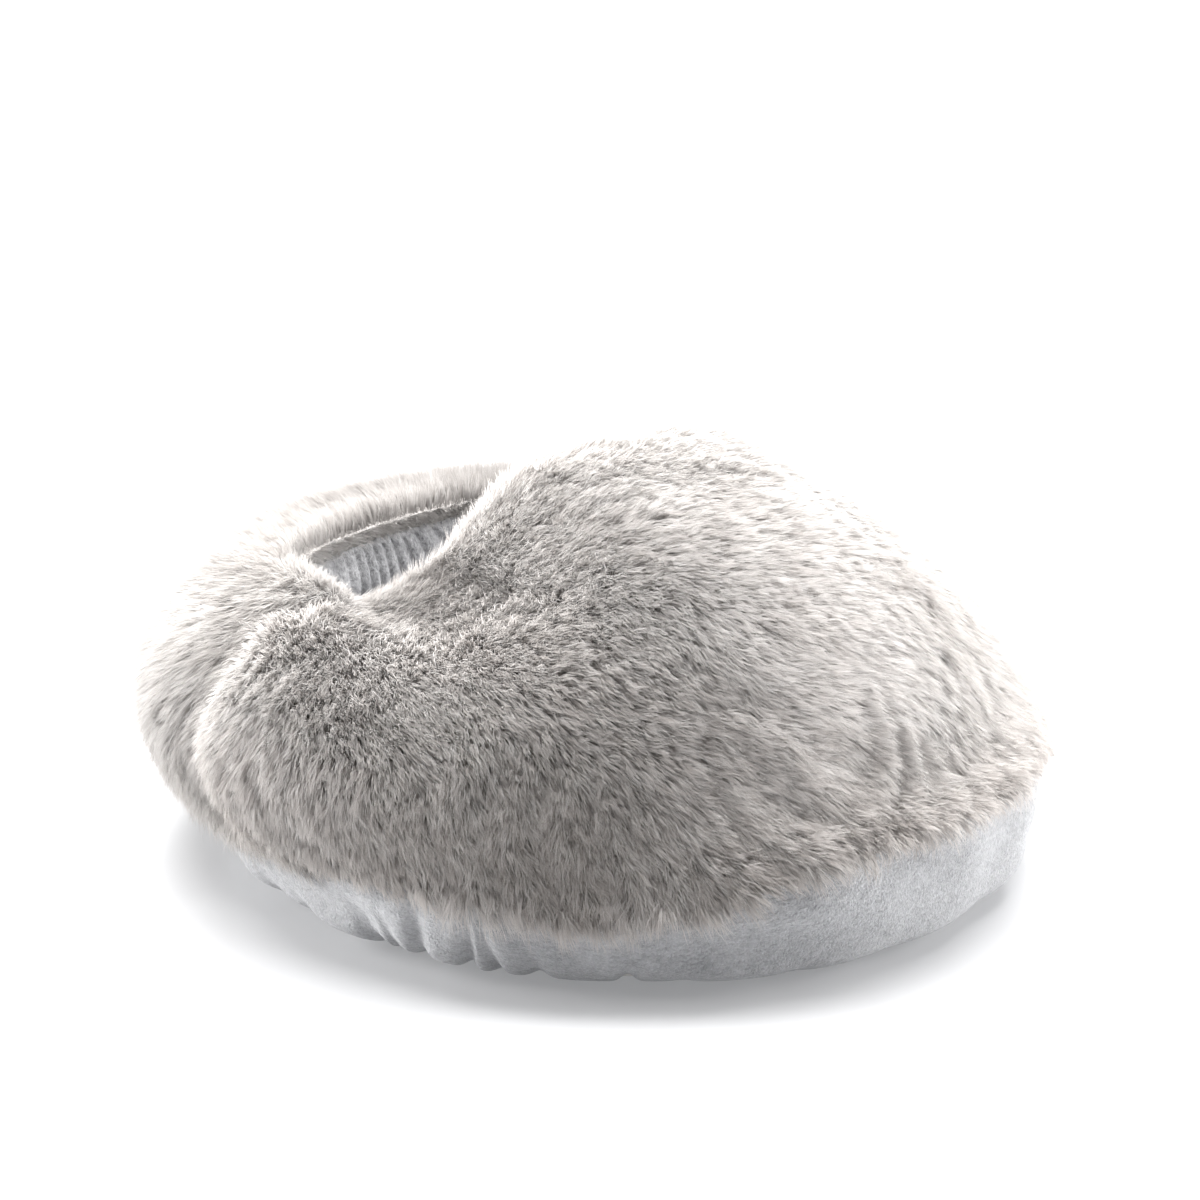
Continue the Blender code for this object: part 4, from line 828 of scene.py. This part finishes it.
def add_grip_dots(middle, half, level, rubber):
    """Rubber domes under the sole, in staggered rows, as one piece."""
    deselect()
    bpy.ops.mesh.primitive_uv_sphere_add(segments=12, ring_count=6, radius=DOT_RADIUS)
    dots = bpy.context.object
    dome = vertex_places(dots)
    height = DOT_HEIGHT + SOLE_THICKNESS / 2
    dome[:, 2] = level - SOLE_THICKNESS / 2 + dome[:, 2] / DOT_RADIUS * height
    lay(dots, dome)
    rows = int(half.y / DOT_PITCH)
    places = [(column * DOT_PITCH + row % 2 * DOT_PITCH / 2, row * DOT_PITCH)
              for row in range(-rows, rows + 1) for column in range(-rows, rows + 1)]
    places = [(x, y) for x, y in places if math.hypot(x / half.x, y / half.y) < DOT_REACH_SHARE]
    copies = []
    for x, y in places:
        copy = dots.copy()
        copy.data = dots.data.copy()
        copy.data.transform(Matrix.Translation((middle.x + x, middle.y + y, 0)))
        link(copy)
        copy.select_set(True)
        copies.append(copy)
    bpy.data.objects.remove(dots, do_unlink=True)
    bpy.context.view_layer.objects.active = copies[0]
    bpy.ops.object.join()
    bpy.ops.object.shade_smooth()
    return finish_piece(copies[0], "grip_dots", rubber)


# Plush

def scatter(panel_start, panel_end, low, high, count, seed):
    """Root positions and angles spread evenly over a panel's area."""
    draw = np.random.default_rng(seed)
    rows, columns = 120, 360
    position = low + (high - low) * (np.arange(rows) + 0.5)[:, None] / rows
    share = (np.arange(columns) + 0.5)[None, :] / columns
    start, end = panel_start(position), panel_end(position)
    angle = start + (end - start) * share
    position = np.broadcast_to(position, angle.shape)
    point = hide_point(position, angle)
    across = np.gradient(point, axis=1)
    up = np.gradient(point, axis=0)
    area = np.linalg.norm(np.cross(across, up), axis=-1).ravel()
    cell = draw.choice(area.size, size=count, p=area / area.sum())
    row, column = cell // columns, cell % columns
    root_position = low + (high - low) * (row + draw.uniform(0, 1, count)) / rows
    share = (column + draw.uniform(0, 1, count)) / columns
    start, end = panel_start(root_position), panel_end(root_position)
    return root_position, start + (end - start) * share


def unit(vectors):
    return vectors / np.linalg.norm(vectors, axis=-1, keepdims=True)


def surface_frame(position, angle):
    """The hide's point, outward normal and direction towards the mouth."""
    step = 0.01
    point = hide_point(position, angle)
    up = hide_point(np.clip(position + step, 0, LAST_RING), angle)
    up = up - hide_point(np.clip(position - step, 0, LAST_RING), angle)
    across = hide_point(position, angle + step) - hide_point(position, angle - step)
    return point, unit(np.cross(across, up)), unit(up)


def lie(vectors, normal):
    """Vectors laid flat on the surface."""
    return unit(vectors - normal * np.sum(vectors * normal, axis=1, keepdims=True))


def comb(position, angle, normal, up):
    """How the pile lies: toewards on the hood, outwards on the collar and down at the base."""
    collar = smooth_step(behind_side(angle) - crease_angle(position), *COMB_PARTING)
    hang = 1 - smooth_step(position, *COMB_HANG_RANGE)
    side = smooth_step(-np.cos(angle), *COMB_SIDE_ROUND)
    side = side * (1 - smooth_step(position, *COMB_SIDE_OUT))
    down = np.clip(hang * COMB_HANG + side * COMB_SIDE + collar, 0, 1)
    lip = COMB_LIP * smooth_step(position, *COMB_LIP_RANGE)
    way = TOEWARD * (1 - down)[:, None] + (OUTWARD_SAG - up) * down[:, None]
    return lie(way * (1 - lip)[:, None] + up * lip[:, None], normal)


def gathered(points, spacing, seed):
    """The middles of the tufts that the roots gather into, and each root's own tuft."""
    draw = np.random.default_rng(seed)
    cells = np.floor(points / spacing).astype(int)
    _, first = np.unique(cells, axis=0, return_index=True)
    middles = points[first] + draw.normal(0, spacing * MIDDLE_SPREAD_SHARE, (len(first), 3))
    tree = kdtree.KDTree(len(middles))
    for index, middle in enumerate(middles):
        tree.insert(middle, index)
    tree.balance()
    return middles, np.array([tree.find(point)[1] for point in points])


def turn_about(vectors, axis, angle):
    """Vectors turned about an axis that they are square to."""
    return vectors * np.cos(angle)[:, None] + np.cross(axis, vectors) * np.sin(angle)[:, None]


def grow(position, angle, pile, seed):
    """Strand centre lines, their flat sides, the way they face the light, and their tones."""
    draw = np.random.default_rng(seed)
    count = len(position)
    point, normal, up = surface_frame(position, angle)
    nap = comb(position, angle, normal, up)
    swirl = sum(size * drift(point, length, seed + index)
                for index, (size, length) in enumerate(SWIRLS, start=1))
    nap = turn_about(nap, normal, swirl)
    tufts, tuft = gathered(point, TUFT_SPACING, seed + 3)
    locks, lock = gathered(point, LOCK_SPACING, seed + 4)

    def uneven(for_tuft, for_lock, for_strand):
        return (draw.normal(0, for_tuft, len(tufts))[tuft]
                + draw.normal(0, for_lock, len(locks))[lock]
                + draw.normal(0, for_strand, count))

    hang = 1 - smooth_step(position, *HANG_RANGE)
    hem = 1 - smooth_step(position, *HEM_RANGE)
    lip = smooth_step(position, *LIP_RANGE)
    behind = behind_side(angle)
    nap = turn_about(nap, normal, uneven(*TURN_SPREADS) * (1 + HANGING_TANGLE * hang))
    lift = LIFT + uneven(*LIFT_SPREADS) + LIFT_DRIFT * drift(point, LIFT_DRIFT_LENGTH, seed + 5)
    lift = lift - HEM_LIFT_LOSS * hem - LIP_LIFT_LOSS * lip
    notch = bump(behind - crease_angle(position), NOTCH_SPREAD)
    notch = notch * smooth_step(position, *NOTCH_RANGE)
    length = pile * np.clip(1.0 + uneven(*LENGTH_SPREADS), *LENGTH_LIMITS)
    length = length * (1 - LIP_LENGTH_LOSS * lip) * (1 - NOTCH_LENGTH_LOSS * notch)
    length = length * (1 - LIFTED_HEM_LENGTH_LOSS * hem * (hem_shift(angle) < 0))
    ragged = np.clip(1 + drift(point, SKIRT_DRIFT_LENGTH, seed + 7), 0, 2)
    length = length * (1 + SKIRT_PILE_SHARE * hem * ragged)
    line = np.empty((count, 3, 3))
    line[:, 0] = point
    for step, bend in ((1, STRAND_BEND), (2, -STRAND_BEND)):
        tilt = lift + bend
        way = nap * np.cos(tilt)[:, None] + normal * np.sin(tilt)[:, None]
        line[:, step] = line[:, step - 1] + way * (length / 2)[:, None]
    steps = np.linspace(0, 1, 3)
    line[:, :, 2] -= SKIRT_SAG * hem[:, None] * steps**2
    lock_pull = LOCK_PULL + LOCK_PULL_HANGING * hang + LOCK_PULL_HEM * hem
    for centres, member, share in ((tufts, tuft, TUFT_PULL), (locks, lock, lock_pull)):
        shift = (centres[member] - point) * np.reshape(share, (-1, 1))
        line += shift[:, None, :] * (steps**PULL_POWER)[None, :, None]
    line[:, :, 2] = np.maximum(line[:, :, 2], FLOOR_ROOM)
    side = turn_about(unit(np.cross(nap, normal)), nap, draw.normal(0, TWIST_SPREAD, count))
    ribbon = unit(np.cross(side, line[:, 2] - line[:, 0]))
    rim = smooth_step(position, *RIM_POSITIONS) * smooth_step(behind, *RIM_ANGLES)
    slope = smooth_step(position, *SLOPE_POSITIONS)
    slope = slope * window(-behind, SLOPE_ANGLES_IN, SLOPE_ANGLES_OUT)
    raised = up * (RIM_TURN * rim - SLOPE_TURN * slope)[:, None]
    facing = unit(normal + FACE_SHARE * ribbon + NAP_SHARE * nap + raised)
    # Painted shade: the tones are darkened low on the wall, at the lip, on the rim and on the slope
    tone = TONE - HANG_PAINTED_SHADE * hang - LIP_PAINTED_SHADE * lip - RIM_PAINTED_SHADE * rim - SLOPE_PAINTED_SHADE * slope
    # Painted shade: a darker patch on the front left, low on the wall
    painted_front_shade = bump(np.mod(angle, 2 * math.pi) - FRONT_PATCH_ANGLE, FRONT_PATCH_WIDTH)
    painted_front_shade = painted_front_shade * bump(position - FRONT_PATCH_POSITION, FRONT_PATCH_HEIGHT)
    tone += uneven(*TONE_SPREADS) + TONE_DRIFT * drift(point, TONE_DRIFT_LENGTH, seed + 6)
    tone -= FRONT_PATCH_PAINTED_SHADE * painted_front_shade
    return line, side, facing, np.clip(tone, *TONE_LIMITS)


def strand_piece(name, line, side, facing, tone, material):
    """Flat strands of a strip and a tip, each with its tone and its length on the map."""
    count = len(line)
    reach = side[:, None, :] * (STRAND_WIDTHS / 2)[None, :, None]
    verts = np.concatenate([line[:, :2] - reach, line[:, :2] + reach, line[:, 2:]], axis=1)
    pattern = np.array([0, 2, 3, 1, 1, 3, 4])
    corners = (pattern[None, :] + 5 * np.arange(count)[:, None]).ravel()
    starts = (np.array([0, 4])[None, :] + 7 * np.arange(count)[:, None]).ravel()
    mesh = bpy.data.meshes.new(name)
    mesh.vertices.add(5 * count)
    mesh.vertices.foreach_set("co", verts.astype(np.float32).ravel())
    mesh.loops.add(len(corners))
    mesh.loops.foreach_set("vertex_index", corners.astype(np.int32))
    mesh.polygons.add(len(starts))
    mesh.polygons.foreach_set("loop_start", starts.astype(np.int32))
    spread = MAP_TONE_WIDTH * np.array([-1, -1, 1, 1, 0])
    along = np.array([0.0, 0.5, 0.0, 0.5, 1.0])
    layer = mesh.uv_layers.new(name="OFBake")
    u = (tone[:, None] + spread[pattern][None, :]).ravel()
    along = MAP_EDGE + (1 - 2 * MAP_EDGE) * along[pattern]
    v = np.broadcast_to(along, (count, len(pattern))).ravel()
    layer.uv.foreach_set("vector", np.stack([u, v], axis=1).astype(np.float32).ravel())
    mesh.update(calc_edges=True)
    mesh.shade_smooth()
    mesh.normals_split_custom_set_from_vertices(np.repeat(facing, 5, axis=0))
    piece = bpy.data.objects.new(name, mesh)
    link(piece)
    return finish_piece(piece, name, material)


def add_plush(name, start, end, pieces, pile, seed, material):
    """One panel's pile, in a few pieces that follow each other round the panel."""
    position, angle = scatter(start, end, PILE_START, PILE_END, STRANDS_PER_PIECE * pieces, seed)
    order = np.argsort(angle)
    strands = grow(position[order], angle[order], pile, seed)
    parts = [slice(index * STRANDS_PER_PIECE, (index + 1) * STRANDS_PER_PIECE)
             for index in range(pieces)]
    return [strand_piece(f"{name}_{index + 1}", *(values[part] for values in strands), material)
            for index, part in enumerate(parts)]


# Stage

def add_camera():
    """The camera that took the photograph, from the base's middle and its pixel."""
    back = Vector((math.sin(CAMERA_AZIMUTH) * math.cos(CAMERA_ELEVATION),
                   -math.cos(CAMERA_AZIMUTH) * math.cos(CAMERA_ELEVATION),
                   math.sin(CAMERA_ELEVATION)))
    pitch = CAMERA_ELEVATION - math.atan((BASE_PIXEL[1] - IMAGE_SIZE / 2) / FOCAL_PIXELS)
    turn = math.atan((BASE_PIXEL[0] - IMAGE_SIZE / 2) / FOCAL_PIXELS / math.cos(pitch))
    data = bpy.data.cameras.new("camera")
    data.lens = FOCAL_PIXELS / IMAGE_SIZE * SENSOR
    data.sensor_width = SENSOR
    data.clip_start, data.clip_end = 0.05, 50
    camera = bpy.data.objects.new("camera", data)
    camera.location = Vector((0, BASE_Y, 0)) + back * CAMERA_DISTANCE
    camera.rotation_euler = (math.pi / 2 - pitch, 0, CAMERA_AZIMUTH + turn)
    link(camera)
    bpy.context.scene.camera = camera


def add_floor():
    deselect()
    bpy.ops.mesh.primitive_plane_add(size=FLOOR_SIZE)
    floor = bpy.context.object
    floor.name = "studio_floor"
    finish = Finish("studio_floor", Roughness=0.32, IOR=1.35, Emission_Strength=0.23,
                    Emission_Color=DAYLIGHT)
    haze = finish.noise(finish.place(), scale=1.5)
    finish.colour(finish.ramp(haze, [(0.0, (0.42, 0.421, 0.426)), (1.0, (0.44, 0.441, 0.446))]))
    floor.data.materials.append(finish.material)


def add_light(name, kind, place, way, **settings):
    """A light at a place, which shines along a way."""
    data = bpy.data.lights.new(name, kind)
    for setting, value in settings.items():
        setattr(data, setting, value)
    light = bpy.data.objects.new(name, data)
    light.location = place
    light.rotation_euler = Vector(way).to_track_quat("-Z", "Y").to_euler()
    link(light)


def add_lights():
    """A bright bank behind and overhead, a bank at each side, and little from the front."""
    world = bpy.data.worlds.new("studio")
    world.use_nodes = True
    sky = world.node_tree.nodes["Background"]
    sky.inputs["Color"].default_value = DAYLIGHT
    sky.inputs["Strength"].default_value = WORLD_STRENGTH
    bpy.context.scene.world = world
    add_light("overhead_bank", "SUN", (0, 0, 0), SUN_WAY, energy=SUN_STRENGTH, angle=SUN_SPREAD)
    for name, place, target, width, height, power in BANKS:
        add_light(name, "AREA", place, Vector(target) - Vector(place), shape="RECTANGLE",
                  size=width, size_y=height, energy=power)


def dress(nodes, material):
    for node in nodes:
        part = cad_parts[node]
        part.data.materials.clear()
        part.data.materials.append(material)


def dress_solids():
    """Gives the solids that still show the stuff that they are made of."""
    for name, dark, light, scale, relief, nodes in FIBRES:
        dress(nodes, fibre_finish(name, dark, light, scale, relief))
    dress(("mouth_elastic", "hem_elastic"),
          woven_finish("elastic", (0.60, 0.59, 0.56), (0.84, 0.83, 0.80), 1.0 * MM))
    dress(("reflector_foil",), foil_finish())
    for name, colour, roughness, node in MOULDED:
        dress((node,), moulded_finish(name, colour, roughness))
    for name, colour, roughness, nodes in METALS:
        dress(nodes, metal_finish(name, colour, roughness))


def main():
    bpy.context.scene.view_settings.view_transform = "Standard"
    add_camera()
    fur = pile_finish("plush_pile", FUR_DARK, FUR_MIDDLE, FUR_LIGHT)
    # The collar's pile carries painted shade: darker colours than the hood's for the same plush
    collar_fur = pile_finish("collar_pile", COLLAR_PAINTED_SHADE_DARK, COLLAR_PAINTED_SHADE_MIDDLE, COLLAR_PAINTED_SHADE_LIGHT)
    hide = hide_finish()
    fleece = fleece_finish("coral_fleece", FLEECE_DARK, FLEECE_LIGHT)
    footbed = fleece_finish("footbed_fleece", shaded(FLEECE_DARK, 1.1), shaded(FLEECE_LIGHT, 1.05))
    velvet = velvet_finish("velvet", VELVET_DARK, VELVET_LIGHT)
    dark_cloth = woven_finish("sole_weave", (0.03, 0.03, 0.035), (0.08, 0.08, 0.085), 0.8 * MM)

    def left_crease(position):
        return math.pi - crease_angle(position)

    def right_crease(position):
        return 2 * math.pi + crease_angle(position)

    hood = add_hide("hood_hide", "fur_hood", left_crease, right_crease, HOOD_COLUMNS, hide)
    collar = add_hide("collar_hide", "fur_collar", crease_angle, left_crease, COLLAR_COLUMNS, hide)
    add_lining(fleece)
    add_footbed(footbed)
    add_band(velvet)
    add_sole(dark_cloth, moulded_finish("grip_rubber", (0.035, 0.035, 0.038), 0.6))
    hood_pile = add_plush("hood_pile", left_crease, right_crease, HOOD_PIECES, HOOD_PILE,
                          HOOD_SEED, fur)
    collar_pile = add_plush("collar_pile", crease_angle, left_crease, COLLAR_PIECES, COLLAR_PILE,
                            COLLAR_SEED, collar_fur)

    dress_solids()
    add_floor()
    add_lights()


main()
